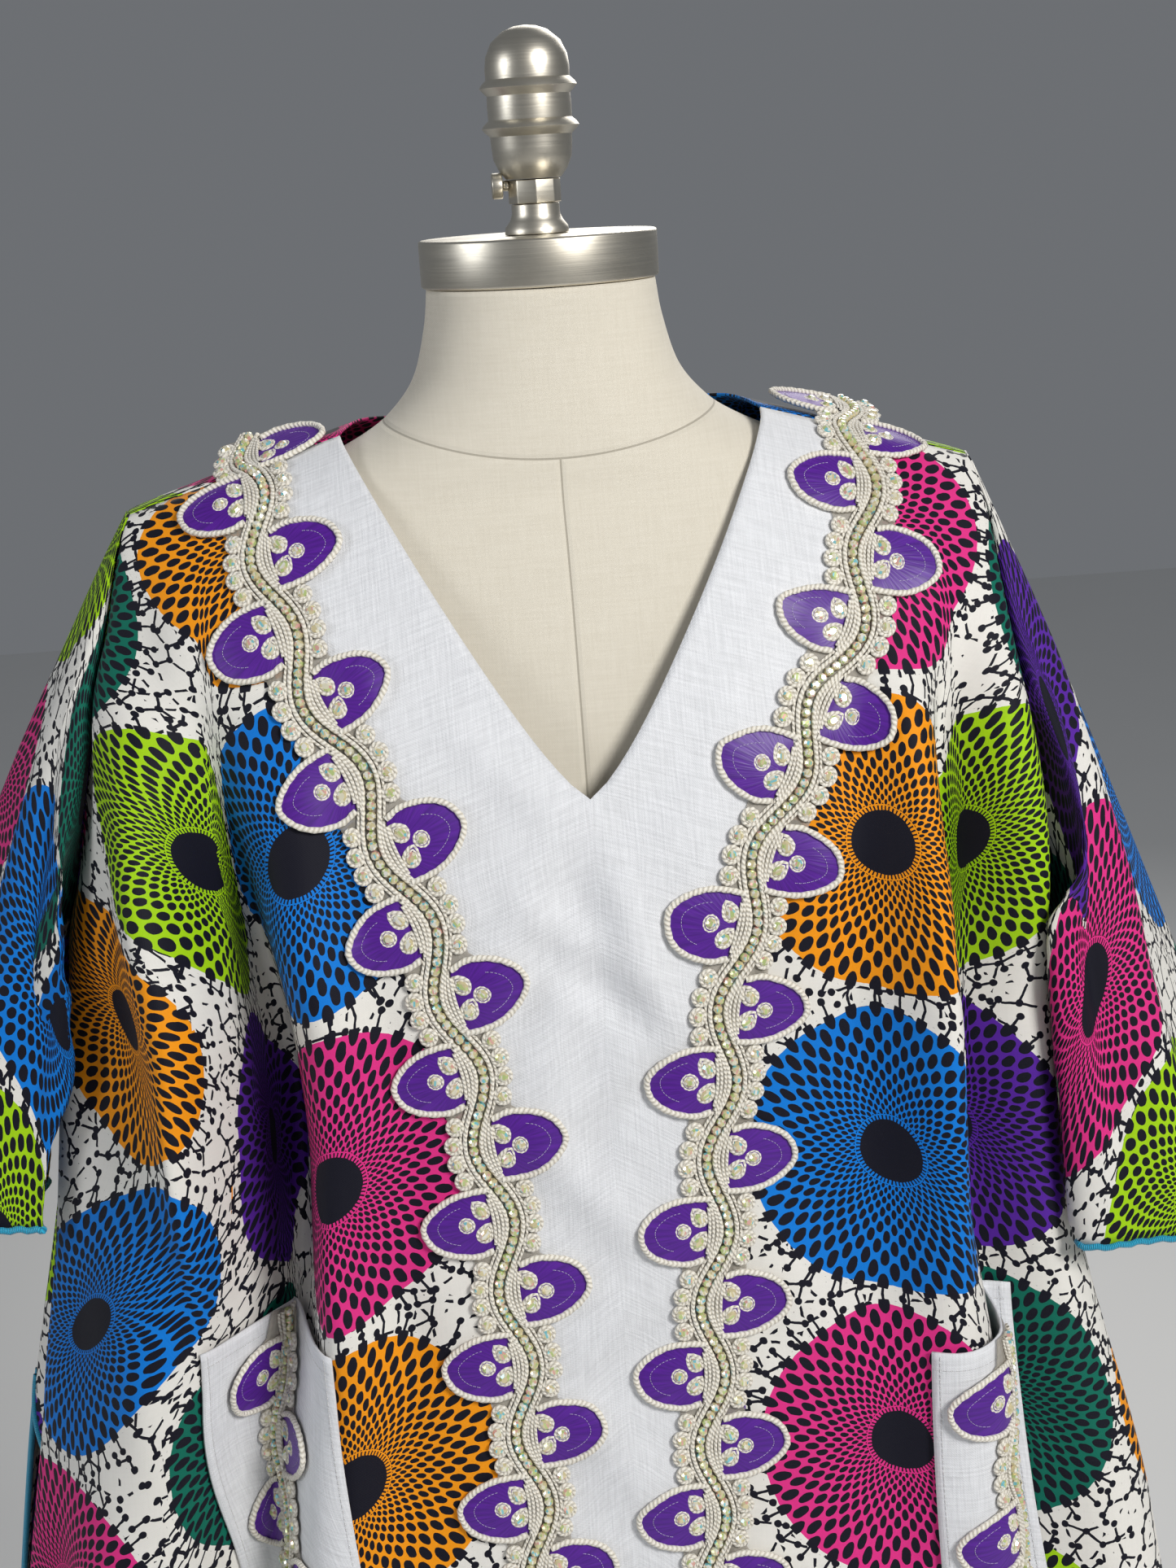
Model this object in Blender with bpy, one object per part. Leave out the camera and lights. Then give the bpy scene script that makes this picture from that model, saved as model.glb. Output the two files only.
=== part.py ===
"""Maxi dress on a limbless dress form.

A wide wax-print dress with a white centre panel, a deep V neck, loose three-quarter sleeves, beaded trims
and two patch pockets, worn by a linen torso on a pole and round base. Metres, +Z up, the front faces -Y.
Left and right are the viewer's. The origin is the middle of the base's underside.
"""

import math
from collections import namedtuple

import bmesh
import bpy
from mathutils import Vector

# Cloth and gaps
CLOTH = 0.0015
TRIM_BACKING = 0.0012
TRIM_RIDGE = 0.0030
SEAM_GAP = 0.0003
LAY_GAP = 0.0010
POCKET_TRIM_GAP = 0.0026
EDGE_GAP = 0.0008
ROLL_RADIUS = 0.0017

# Shoulders and neckline
NECK_HALF = 0.098
NECK_HEIGHT = 1.436
SHOULDER_SLOPE = 0.30
SHOULDER_FORWARD = 0.016
SHOULDER_ROLL = 0.006
SHOULDER_ROWS = 3.0
V_BOTTOM_ROW = 5.2
V_CURVE = 0.78
BACK_NECK_ROW = 2.05

# Rows of the dress, from the shoulder seam to the hem. Height at the neck point's side, depth of the
# front and back, half width to the left and right, depth of the armhole edge, share of shoulder slope.
Section = namedtuple("Section", "z front back left right arm slope")
SECTIONS = (
    Section(1.436, 0.000, 0.000, 0.197, 0.195, 0.000, 1.00),
    Section(1.430, 0.023, 0.044, 0.200, 0.197, 0.012, 1.00),
    Section(1.412, 0.053, 0.070, 0.205, 0.200, 0.028, 0.95),
    Section(1.380, 0.082, 0.086, 0.211, 0.202, 0.043, 0.80),
    Section(1.335, 0.104, 0.098, 0.219, 0.204, 0.052, 0.55),
    Section(1.287, 0.121, 0.107, 0.228, 0.207, 0.054, 0.30),
    Section(1.225, 0.131, 0.112, 0.239, 0.212, 0.042, 0.10),
    Section(1.155, 0.133, 0.114, 0.252, 0.221, 0.000, 0.00),
    Section(1.060, 0.134, 0.118, 0.272, 0.234, 0.000, 0.00),
    Section(0.920, 0.138, 0.125, 0.303, 0.250, 0.000, 0.00),
    Section(0.700, 0.148, 0.137, 0.336, 0.280, 0.000, 0.00),
    Section(0.420, 0.160, 0.150, 0.363, 0.320, 0.000, 0.00),
    Section(0.200, 0.170, 0.160, 0.378, 0.345, 0.000, 0.00),
    Section(0.045, 0.176, 0.166, 0.386, 0.360, 0.000, 0.00),
)
LAST_ROW = len(SECTIONS) - 1
UNDERARM_ROW = 7.0
SQUARENESS = 0.55

# Folds that run down the dress. Place is the share of the way from the centre (0) to the side seam (1,
# left negative) at the start, where the fold is full, and at the hem. Lean pushes it sideways.
Fold = namedtuple("Fold", "panel start_place full_place hem_place start_z full_z full_depth hem_depth width lean")
FOLDS = (
    Fold("front", 0.60, 0.52, 0.46, 1.400, 1.20, 0.014, 0.026, 0.13, 0.000),
    Fold("front", 0.74, 0.67, 0.62, 1.400, 1.04, -0.034, -0.026, 0.11, 0.000),
    Fold("front", 0.86, 0.84, 0.80, 1.060, 0.86, 0.020, 0.030, 0.12, 0.000),
    Fold("front", -0.52, -0.36, -0.33, 1.380, 1.14, 0.014, 0.022, 0.09, 0.000),
    Fold("front", -0.54, -0.475, -0.46, 1.310, 1.12, -0.034, -0.030, 0.10, 0.000),
    Fold("front", -0.64, -0.63, -0.62, 1.300, 1.10, 0.026, 0.032, 0.12, 0.016),
    Fold("front", -0.90, -0.90, -0.88, 1.240, 1.12, -0.018, -0.020, 0.09, 0.000),
    Fold("front", 0.20, 0.22, 0.20, 1.120, 0.80, 0.004, 0.014, 0.15, 0.000),
    Fold("front", -0.16, -0.18, -0.18, 1.120, 0.80, 0.004, 0.014, 0.15, 0.000),
    Fold("back", -0.78, -0.72, -0.68, 1.330, 1.05, -0.020, -0.030, 0.13, 0.000),
    Fold("back", -0.50, -0.50, -0.46, 1.330, 1.00, 0.014, 0.028, 0.14, 0.000),
    Fold("back", -0.22, -0.24, -0.22, 1.300, 0.95, -0.012, -0.026, 0.15, 0.000),
    Fold("back", 0.04, 0.02, 0.02, 1.330, 1.00, 0.010, 0.026, 0.15, 0.000),
    Fold("back", 0.30, 0.28, 0.26, 1.300, 0.98, -0.014, -0.028, 0.15, 0.000),
    Fold("back", 0.54, 0.52, 0.50, 1.340, 1.03, 0.014, 0.028, 0.14, 0.000),
    Fold("back", 0.80, 0.76, 0.72, 1.330, 1.06, -0.020, -0.030, 0.13, 0.000),
)

# Seam between the white panel and each print panel, which the long trims cover
SeamPoint = namedtuple("SeamPoint", "row left right")
FRONT_SEAM = (
    SeamPoint(0.0, -0.139, 0.140),
    SeamPoint(2.0, -0.137, 0.138),
    SeamPoint(3.5, -0.126, 0.127),
    SeamPoint(5.0, -0.098, 0.092),
    SeamPoint(6.2, -0.072, 0.062),
    SeamPoint(7.7, -0.053, 0.046),
    SeamPoint(9.0, -0.046, 0.036),
    SeamPoint(13.0, -0.044, 0.036),
)

# Side slits
SLIT_TOP = 1.005
SLIT_FULL = 0.860
SLIT_SHARE = 0.12

# Mesh density
PANEL_ROWS = (0.0, 0.4, 0.8, 1.2, 1.6, 2.0, 2.5, 3.0, 3.5, 4.0, 4.4, 4.8, 5.2, 5.6, 6.0, 6.5, 7.0, 7.4, 7.8, 8.2,
              8.45, 8.7, 8.95, 9.2, 9.5, 9.75, 10.0, 10.5, 11.0, 12.0, 13.0)
PRINT_COLUMNS = {
    -1: (0.0, 0.09, 0.17, 0.235, 0.30, 0.365, 0.43, 0.50, 0.58, 0.67, 0.77, 0.88, 1.0),
    1: (0.0, 0.10, 0.20, 0.29, 0.36, 0.42, 0.48, 0.55, 0.62, 0.70, 0.79, 0.89, 1.0),
}
BACK_COLUMNS = 20
HEM_COLUMNS = 22
ROLL_TOP_ROW = 8.7
TRIM_ROW_STEP = 0.0120

# Beaded trim: one petal to each side in every repeat
TRIM_REPEAT = 0.0717
TRIM_PETAL = 0.0360
TRIM_WAIST = 0.0150
PETAL_SHARE = 0.46
TRIM_PHASE = {-1: 0.851, 1: 0.549}

# Sleeves: the hem ring's middle, half sizes, height and turn, and how far the sleeve stands forward
Sleeve = namedtuple("Sleeve", "name side middle_x middle_y half_x half_y hem_z turn")
SLEEVES = (
    Sleeve("sleeve_left", -1, 0.312, 0.010, 0.044, 0.112, 1.088, 26.0),
    Sleeve("sleeve_right", 1, 0.292, 0.010, 0.048, 0.115, 1.030, 26.0),
)
SLEEVE_RINGS = (0.0, 0.05, 0.12, 0.22, 0.34, 0.47, 0.60, 0.73, 0.87, 1.0)
SLEEVE_SIDES = 24
SLEEVE_BULGE = 0.040
SLEEVE_CAP = 0.004
SLEEVE_CLEAR = 0.016
SleeveFold = namedtuple("SleeveFold", "angle depth width")
SLEEVE_FOLDS = (
    SleeveFold(40.0, 0.007, 26.0),
    SleeveFold(72.0, -0.008, 26.0),
    SleeveFold(110.0, 0.008, 28.0),
    SleeveFold(225.0, -0.008, 30.0),
    SleeveFold(270.0, 0.008, 30.0),
    SleeveFold(318.0, -0.008, 26.0),
)

# Patch pockets: top and bottom row, first and last column of the print panel, and the trim's column
Pocket = namedtuple("Pocket", "name trim_name side top_row bottom_row first last trim_column")
POCKETS = (
    Pocket("pocket_left", "pocket_trim_left", -1, 8.2, 9.5, 3, 7, 5),
    Pocket("pocket_right", "pocket_trim_right", 1, 8.45, 9.75, 4, 9, 7),
)
POCKET_GAPE = 0.003

# Dress form torso: height, half width, depth of the front and back
Torso = namedtuple("Torso", "z half front back")
TORSO = (
    Torso(1.4975, 0.0530, 0.0530, 0.0530),
    Torso(1.4800, 0.0555, 0.0540, 0.0550),
    Torso(1.4580, 0.0620, 0.0570, 0.0590),
    Torso(1.4430, 0.0735, 0.0600, 0.0620),
    Torso(1.4330, 0.0870, 0.0620, 0.0630),
    Torso(1.4200, 0.1130, 0.0640, 0.0640),
    Torso(1.4050, 0.1400, 0.0665, 0.0660),
    Torso(1.3880, 0.1600, 0.0760, 0.0690),
    Torso(1.3650, 0.1700, 0.0860, 0.0730),
    Torso(1.3300, 0.1730, 0.0960, 0.0790),
    Torso(1.2700, 0.1660, 0.1080, 0.0850),
    Torso(1.2100, 0.1600, 0.1160, 0.0850),
    Torso(1.1400, 0.1400, 0.1000, 0.0780),
    Torso(1.0500, 0.1210, 0.0840, 0.0720),
    Torso(0.9500, 0.1500, 0.0900, 0.0880),
    Torso(0.8500, 0.1720, 0.0950, 0.1000),
    Torso(0.7600, 0.1740, 0.0930, 0.0960),
    Torso(0.7300, 0.1650, 0.0870, 0.0880),
)
TORSO_SIDES = 24

# Metal fittings and stand
CAP_BOTTOM = 1.4980
CAP_HEIGHT = 0.0215
CAP_HALF = 0.0552
CAP_EDGE = 0.0016
POLE_RADIUS = 0.0140
POLE_BOTTOM = 0.0330
BASE_RADIUS = 0.1800
BASE_HEIGHT = 0.0140
ROUND_SIDES = 20

# Turned shapes as radius and height above their foot
FINIAL_PROFILE = (
    (0.0128, 0.0000), (0.0158, 0.0040), (0.0180, 0.0090), (0.0185, 0.0140), (0.0188, 0.0190), (0.0223, 0.0227),
    (0.0191, 0.0262), (0.0193, 0.0314), (0.0191, 0.0368), (0.0223, 0.0404), (0.0192, 0.0440), (0.0193, 0.0487),
    (0.0186, 0.0540), (0.0158, 0.0600), (0.0102, 0.0648), (0.0000, 0.0671),
)
COLLAR_FOOT = ((0.0148, 0.0000), (0.0145, 0.0030), (0.0122, 0.0060), (0.0111, 0.0090), (0.0111, 0.0134))
COLLAR_NUT = ((0.0122, 0.0137), (0.0122, 0.0244))


def mix(a, b, share):
    return a + (b - a) * share


def smooth(share):
    share = min(max(share, 0.0), 1.0)
    return share * share * (3.0 - 2.0 * share)


def curve_through(values, place):
    """Value at a place along evenly numbered values, on a smooth curve."""
    last = len(values) - 1
    i = min(int(place), last - 1)
    f = place - i
    p1, p2 = values[i], values[i + 1]
    p0 = values[i - 1] if i > 0 else 2 * p1 - p2
    p3 = values[i + 2] if i + 2 <= last else 2 * p2 - p1
    m1, m2 = (p2 - p0) / 2, (p3 - p1) / 2
    return ((2 * f**3 - 3 * f**2 + 1) * p1 + (f**3 - 2 * f**2 + f) * m1
            + (3 * f**2 - 2 * f**3) * p2 + (f**3 - f**2) * m2)


COLUMN_VALUES = {name: [getattr(s, name) for s in SECTIONS] for name in Section._fields}


def section(name, row):
    return max(curve_through(COLUMN_VALUES[name], min(max(row, 0.0), LAST_ROW)), 0.0)


def angle_table(steps=180):
    """Angles round a quarter section at even arc lengths, from the centre to the side."""
    width, depth = 0.280, 0.136
    points = []
    for i in range(steps + 1):
        angle = math.pi / 2 * i / steps
        points.append((angle, width * math.sin(angle), depth * math.cos(angle) ** SQUARENESS if i < steps else 0.0))
    lengths = [0.0]
    for a, b in zip(points, points[1:]):
        lengths.append(lengths[-1] + math.hypot(b[1] - a[1], b[2] - a[2]))
    return [p[0] for p in points], [v / lengths[-1] for v in lengths]


ANGLES, SHARES = angle_table()


def look_up(value, keys, results):
    for i in range(len(keys) - 1):
        if value <= keys[i + 1]:
            return mix(results[i], results[i + 1], (value - keys[i]) / (keys[i + 1] - keys[i]))
    return results[-1]


def angle_at(place):
    return math.copysign(look_up(abs(place), SHARES, ANGLES), place)


def place_at_x(x, row):
    width = section("left" if x < 0 else "right", row)
    return math.copysign(look_up(math.asin(min(abs(x) / width, 1.0)), ANGLES, SHARES), x)


def fold_push(panel, place, z):
    """How far the folds push a point out and sideways."""
    out = 0.0
    along = 0.0
    for fold in FOLDS:
        if fold.panel != panel or z >= fold.start_z:
            continue
        if z > fold.full_z:
            share = (fold.start_z - z) / (fold.start_z - fold.full_z)
            middle = mix(fold.start_place, fold.full_place, share)
            depth = fold.full_depth * smooth(share)
        else:
            share = (fold.full_z - z) / (fold.full_z - SECTIONS[-1].z)
            middle = mix(fold.full_place, fold.hem_place, smooth(share))
            depth = mix(fold.full_depth, fold.hem_depth, share)
        away = abs(place - middle) / fold.width
        if away < 1.0:
            bump = (1.0 + math.cos(math.pi * away)) / 2.0
            out += depth * bump
            along += fold.lean * bump * smooth(depth / 0.02)
    return out, along


def base_point(panel, place, row):
    """Dress surface before its folds, at a place across and a row down."""
    width = section("left" if place < 0 else "right", row)
    depth = section(panel, row)
    arm = section("arm", row)
    angle = angle_at(place)
    x = width * math.sin(angle)
    y = arm + (depth - arm) * max(math.cos(angle), 0.0) ** SQUARENESS
    drop = SHOULDER_SLOPE * (math.sqrt(x * x + 0.0004) - NECK_HALF)
    z = section("z", row) - section("slope", row) * drop
    forward = SHOULDER_FORWARD * (1.0 - smooth(row / SHOULDER_ROWS))
    if panel == "front":
        return Vector((x, -y - forward, z))
    roll = SHOULDER_ROLL * math.sin(math.pi * min(row / SHOULDER_ROWS, 1.0))
    return Vector((x, y - forward, z + roll))


def surface_point(panel, place, row):
    """Outer surface of the dress with its folds."""
    here = base_point(panel, place, row)
    out, along = fold_push(panel, place, here.z)
    if out or along:
        step = 0.004
        low = max(place - step, -1.0)
        high = min(place + step, 1.0)
        across = base_point(panel, high, row) - base_point(panel, low, row)
        across.z = 0.0
        across.normalize()
        outward = Vector((across.y, -across.x, 0.0)) if panel == "front" else Vector((-across.y, across.x, 0.0))
        edge = smooth((1.0 - abs(place)) / 0.08)
        here += (outward * out + across * along) * edge
    return here


def surface_normal(panel, place, row):
    step = 0.003
    low, high = max(place - step, -1.0), min(place + step, 1.0)
    up, down = max(row - 0.02, 0.0), min(row + 0.02, float(LAST_ROW))
    across = surface_point(panel, high, row) - surface_point(panel, low, row)
    along = surface_point(panel, place, down) - surface_point(panel, place, up)
    normal = along.cross(across) if panel == "front" else across.cross(along)
    return normal.normalized()


def seam_x(side, row):
    """Distance across of the seam under a long trim."""
    xs = [seam.left if side < 0 else seam.right for seam in FRONT_SEAM]
    for i, (a, b) in enumerate(zip(FRONT_SEAM, FRONT_SEAM[1:])):
        if row <= b.row:
            return curve_through(xs, i + (row - a.row) / (b.row - a.row))
    return xs[-1]


def v_half(row):
    """Half width of the V neck at a row."""
    if row >= V_BOTTOM_ROW:
        return 0.0
    drop = (NECK_HEIGHT - section("z", row)) / (NECK_HEIGHT - section("z", V_BOTTOM_ROW))
    return NECK_HALF * (1.0 - drop) ** V_CURVE


def material(name, colour, roughness, metallic=0.0):
    made = bpy.data.materials.new(name)
    made.use_nodes = True
    shader = made.node_tree.nodes["Principled BSDF"]
    shader.inputs["Base Color"].default_value = (*colour, 1.0)
    shader.inputs["Roughness"].default_value = roughness
    shader.inputs["Metallic"].default_value = metallic
    return made


def object_from(name, points, faces, finish):
    mesh = bpy.data.meshes.new(name)
    mesh.from_pydata([tuple(p) for p in points], [], faces)
    mesh.update()
    made = bpy.data.objects.new(name, mesh)
    bpy.context.collection.objects.link(made)
    mesh.materials.append(finish)
    mesh.shade_smooth()
    mesh.set_sharp_from_angle(angle=math.radians(50))
    return made


def point_outwards(made):
    shell = bmesh.new()
    shell.from_mesh(made.data)
    bmesh.ops.recalc_face_normals(shell, faces=shell.faces)
    if shell.calc_volume(signed=True) < 0:
        bmesh.ops.reverse_faces(shell, faces=shell.faces)
    shell.to_mesh(made.data)
    shell.free()


def wall(name, outer, inner, finish, ring=False):
    """Closed sheet between two grids of points. A ring joins the last column to the first."""
    rows, columns = len(outer), len(outer[0])
    points = [p for grid in (outer, inner) for line in grid for p in line]
    back = rows * columns

    def at(r, c, layer):
        return layer * back + r * columns + c % columns

    faces = []
    for r in range(rows - 1):
        for c in range(columns if ring else columns - 1):
            faces.append((at(r, c, 0), at(r + 1, c, 0), at(r + 1, c + 1, 0), at(r, c + 1, 0)))
            faces.append((at(r, c, 1), at(r, c + 1, 1), at(r + 1, c + 1, 1), at(r + 1, c, 1)))
    for c in range(columns if ring else columns - 1):
        faces.append((at(0, c, 0), at(0, c + 1, 0), at(0, c + 1, 1), at(0, c, 1)))
        last = rows - 1
        faces.append((at(last, c, 0), at(last, c, 1), at(last, c + 1, 1), at(last, c + 1, 0)))
    if not ring:
        for r in range(rows - 1):
            faces.append((at(r, 0, 0), at(r, 0, 1), at(r + 1, 0, 1), at(r + 1, 0, 0)))
            last = columns - 1
            faces.append((at(r, last, 0), at(r + 1, last, 0), at(r + 1, last, 1), at(r, last, 1)))
    made = object_from(name, points, faces, finish)
    point_outwards(made)
    return made


def slit_share(z):
    return smooth((SLIT_TOP - z) / (SLIT_TOP - SLIT_FULL))


def side_limit(panel, side, row):
    """Place of a panel's side edge: the armhole, the side seam or the slit."""
    z = section("z", row)
    limit = 1.0
    if (panel, side) in (("front", -1), ("back", 1)):
        limit -= SLIT_SHARE * slit_share(z)
    gap = SEAM_GAP * 0.6 / 0.40
    return side * (limit - gap)


def panel_grid(panel, lines):
    """Outer and inner points from rows of (place, row) pairs."""
    outer, inner = [], []
    for line in lines:
        outer_line, inner_line = [], []
        for place, row in line:
            here = surface_point(panel, place, row)
            normal = surface_normal(panel, place, row)
            if abs(place) > 0.97 and row < UNDERARM_ROW + 0.3:
                normal.x = math.copysign(max(math.copysign(1.0, place) * normal.x, 0.0), place)
            outer_line.append(here)
            inner_line.append(here - normal * CLOTH)
        outer.append(outer_line)
        inner.append(inner_line)
    return outer, inner


def top_row(row):
    """The top row starts just below the shoulder seam."""
    return max(row, 0.025)


def print_panel_lines(side):
    lines = []
    for row in PANEL_ROWS:
        row = top_row(row)
        seam = place_at_x(seam_x(side, row) + side * SEAM_GAP / 2, row)
        edge = place_at_x(seam_x(side, row) + side * TRIM_PETAL, row)
        limit = side_limit("front", side, row)
        line = [(seam, row)]
        for share in PRINT_COLUMNS[side]:
            line.append((mix(edge, limit, share), row))
        lines.append(line)
    return lines


def white_half_line(side, row):
    """Places from the trim seam in to the V edge or the centre."""
    seam = seam_x(side, row) - side * SEAM_GAP / 2
    inner = side * v_half(row)
    width = abs(seam - inner)
    edge = seam - side * min(TRIM_PETAL, 0.80 * width)
    return [(place_at_x(x, row), row) for x in (seam, edge, (edge + inner) / 2, inner)]


def white_panel(finish):
    """Centre front panel: two arms round the V neck that join below it."""
    arm_rows = [top_row(row) for row in PANEL_ROWS if row < V_BOTTOM_ROW]
    whole_rows = [row for row in PANEL_ROWS if row >= V_BOTTOM_ROW]
    points, faces, numbers = [], [], {}

    def add(place, row):
        key = (round(place, 6), round(row, 6))
        if key not in numbers:
            here = surface_point("front", place, row)
            numbers[key] = len(points) // 2
            points.extend((here, here - surface_normal("front", place, row) * CLOTH))
        return numbers[key] * 2

    left = [[add(*p) for p in white_half_line(-1, row)] for row in arm_rows + whole_rows]
    right = [[add(*p) for p in white_half_line(1, row)] for row in arm_rows + whole_rows]
    arms = len(arm_rows)
    for half in (left, right):
        for a, b in zip(half, half[1:]):
            for c in range(3):
                faces.append((a[c], b[c], b[c + 1], a[c + 1]))
                faces.append((a[c] + 1, a[c + 1] + 1, b[c + 1] + 1, b[c] + 1))
            faces.append((a[0], a[0] + 1, b[0] + 1, b[0]))
        for a, b in zip(half[:arms], half[1:arms + 1]):
            faces.append((a[3], b[3], b[3] + 1, a[3] + 1))
        for line in (half[0], half[-1]):
            for c in range(3):
                faces.append((line[c], line[c + 1], line[c + 1] + 1, line[c] + 1))
    made = object_from("front_center", points, faces, finish)
    point_outwards(made)


def back_panel(finish):
    lines = []
    for row in PANEL_ROWS:
        row = top_row(row)
        low = side_limit("back", -1, row)
        high = side_limit("back", 1, row)
        line = []
        for i in range(BACK_COLUMNS + 1):
            place = mix(low, high, i / BACK_COLUMNS)
            x = base_point("back", place, 0.0).x
            scoop = BACK_NECK_ROW * max(1.0 - (abs(x) / NECK_HALF) ** 2.5, 0.0) ** 0.6
            line.append((place, row + scoop * max(1.0 - row / V_BOTTOM_ROW, 0.0)))
        lines.append(line)
    outer, inner = panel_grid("back", lines)
    wall("back", outer, inner, finish)


def armhole_point(side, turn):
    """Point on the armhole: 0 the shoulder, half a turn the underarm, by the front first."""
    share = turn / math.pi
    panel = "front" if share <= 1.0 else "back"
    share = share if share <= 1.0 else 2.0 - share
    return surface_point(panel, float(side), UNDERARM_ROW * share)


SIDE_LINES = {}
SIDE_ROWS = [i / 10 for i in range(10 * LAST_ROW + 1)]
SIDE_HEIGHTS = [-base_point("front", 0.95, row).z for row in SIDE_ROWS]


def side_line(side, row):
    """Points round the side of the dress at a row, from the front to the back."""
    key = (side, round(row, 1))
    if key not in SIDE_LINES:
        places = [mix(0.35, 1.0, i / 26) for i in range(27)]
        SIDE_LINES[key] = ([surface_point("front", side * p, key[1]) for p in places]
                           + [surface_point("back", side * p, key[1]) for p in reversed(places)])
    return SIDE_LINES[key]


def body_side_x(side, y, z):
    """Half width of the dress and its folds at a depth and height below the underarm."""
    line = side_line(side, look_up(-z, SIDE_HEIGHTS, SIDE_ROWS))
    widest = 0.0
    for a, b in zip(line, line[1:]):
        if min(a.y, b.y) <= y <= max(a.y, b.y):
            widest = max(widest, abs(a.x), abs(b.x))
    return widest


def sleeve_point(sleeve, turn, share):
    start = armhole_point(sleeve.side, turn) + Vector((sleeve.side * 3 * SEAM_GAP, 0, 0))
    tilt = math.radians(sleeve.turn)
    x = sleeve.half_x * math.copysign(abs(math.cos(turn)) ** 0.85, math.cos(turn))
    y = -sleeve.half_y * math.copysign(abs(math.sin(turn)) ** 0.85, math.sin(turn))
    end = Vector((
        sleeve.side * (sleeve.middle_x + x * math.cos(tilt) + y * math.sin(tilt)),
        sleeve.middle_y + y * math.cos(tilt) - x * math.sin(tilt),
        sleeve.hem_z,
    ))
    here = start.lerp(end, share)
    swell = (1.0 - (1.0 - share) ** 5) * (1.0 - share)
    here.y -= SLEEVE_BULGE * swell * math.sin(turn)
    here.x += sleeve.side * SLEEVE_CAP * 2.0 * swell * max(math.cos(turn), 0.0)
    degrees = math.degrees(turn)
    for fold in SLEEVE_FOLDS:
        away = abs(degrees - fold.angle) / fold.width
        if away < 1.0:
            depth = fold.depth * (1.0 + math.cos(math.pi * away)) / 2.0 * smooth(share / 0.4)
            here += Vector((sleeve.side * math.cos(turn), -math.sin(turn), 0.0)) * depth
    least = body_side_x(sleeve.side, here.y, here.z) + SLEEVE_CLEAR * smooth(share / 0.3)
    here.x = sleeve.side * max(abs(here.x), least)
    return here


def sleeve_grid(sleeve):
    outer, inner = [], []
    for share in SLEEVE_RINGS:
        outer_line, inner_line = [], []
        for i in range(SLEEVE_SIDES):
            turn = 2 * math.pi * i / SLEEVE_SIDES
            here = sleeve_point(sleeve, turn, share)
            step = 0.02
            round_way = sleeve_point(sleeve, (turn + step) % (2 * math.pi), share) - here
            down_way = sleeve_point(sleeve, turn, min(share + 0.01, 1.0)) - sleeve_point(
                sleeve, turn, max(share - 0.01, 0.0))
            normal = round_way.cross(down_way).normalized() * sleeve.side
            if share == 0.0:
                normal.x = 0.0
                normal.normalize()
            outer_line.append(here)
            inner_line.append(here - normal * CLOTH)
        outer.append(outer_line)
        inner.append(inner_line)
    return outer, inner


def tube_along(name, path, radius, finish, sides=5, ring=False):
    """Round roll along a path of points."""
    count = len(path)
    grid = []
    reference = None
    for i, here in enumerate(path):
        before = path[i - 1] if i > 0 or ring else path[0]
        after = path[(i + 1) % count] if i < count - 1 or ring else path[-1]
        along = (after - before).normalized()
        if reference is None:
            reference = along.orthogonal().normalized()
        reference = (reference - along * reference.dot(along)).normalized()
        other = along.cross(reference)
        grid.append([here + (reference * math.cos(a) + other * math.sin(a)) * radius
                     for a in (2 * math.pi * k / sides for k in range(sides))])
    points = [p for line in grid for p in line]
    faces = []
    for i in range(count if ring else count - 1):
        a, b = i * sides, (i + 1) % count * sides
        shift = 0
        if ring and i == count - 1:
            shift = min(range(sides), key=lambda k: (points[b + k] - points[a]).length)
        for k in range(sides):
            k1 = (k + 1) % sides
            faces.append((a + k, a + k1, b + (k1 + shift) % sides, b + (k + shift) % sides))
    if not ring:
        faces.append(tuple(range(sides))[::-1])
        faces.append(tuple((count - 1) * sides + k for k in range(sides)))
    made = object_from(name, points, faces, finish)
    point_outwards(made)


def edge_roll(name, panel, finish):
    """Rolled edge below the hem and up the panel's two slit edges."""
    last = float(LAST_ROW)
    low, high = side_limit(panel, -1, last), side_limit(panel, 1, last)
    slit_rows = [row for row in PANEL_ROWS if row >= ROLL_TOP_ROW]
    spots = [(side_limit(panel, -1, row), row) for row in slit_rows]
    spots += [(mix(low, high, i / HEM_COLUMNS), last) for i in range(1, HEM_COLUMNS)]
    spots += [(side_limit(panel, 1, row), row) for row in reversed(slit_rows)]
    path = []
    for place, row in spots:
        surface = surface_point(panel, place, row)
        here = surface - surface_normal(panel, place, row) * CLOTH / 2
        if place in (side_limit(panel, -1, row), side_limit(panel, 1, row)):
            nearer = surface_point(panel, place - math.copysign(0.02, place), row)
            here += (surface - nearer).normalized() * (ROLL_RADIUS + EDGE_GAP)
        if row == last:
            here.z -= ROLL_RADIUS + SEAM_GAP
        path.append(here)
    tube_along(name, path, ROLL_RADIUS, finish)


def turned(name, profile, foot, sides, finish):
    """Round shape from (radius, height) pairs above a foot height."""
    points, rings, faces = [], [], []
    for radius, height in profile:
        if radius == 0.0:
            rings.append([len(points)])
            points.append((0, 0, foot + height))
            continue
        rings.append(range(len(points), len(points) + sides))
        for k in range(sides):
            angle = 2 * math.pi * (k + 0.5) / sides
            points.append((radius * math.cos(angle), radius * math.sin(angle), foot + height))
    for a, b in zip(rings, rings[1:]):
        for k in range(sides):
            k1 = (k + 1) % sides
            if len(b) == 1:
                faces.append((a[k], a[k1], b[0]))
            else:
                faces.append((a[k], a[k1], b[k1], b[k]))
    for ring in (rings[0], rings[-1]):
        if len(ring) > 1:
            faces.append(tuple(ring))
    made = object_from(name, points, faces, finish)
    point_outwards(made)
    return made


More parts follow.
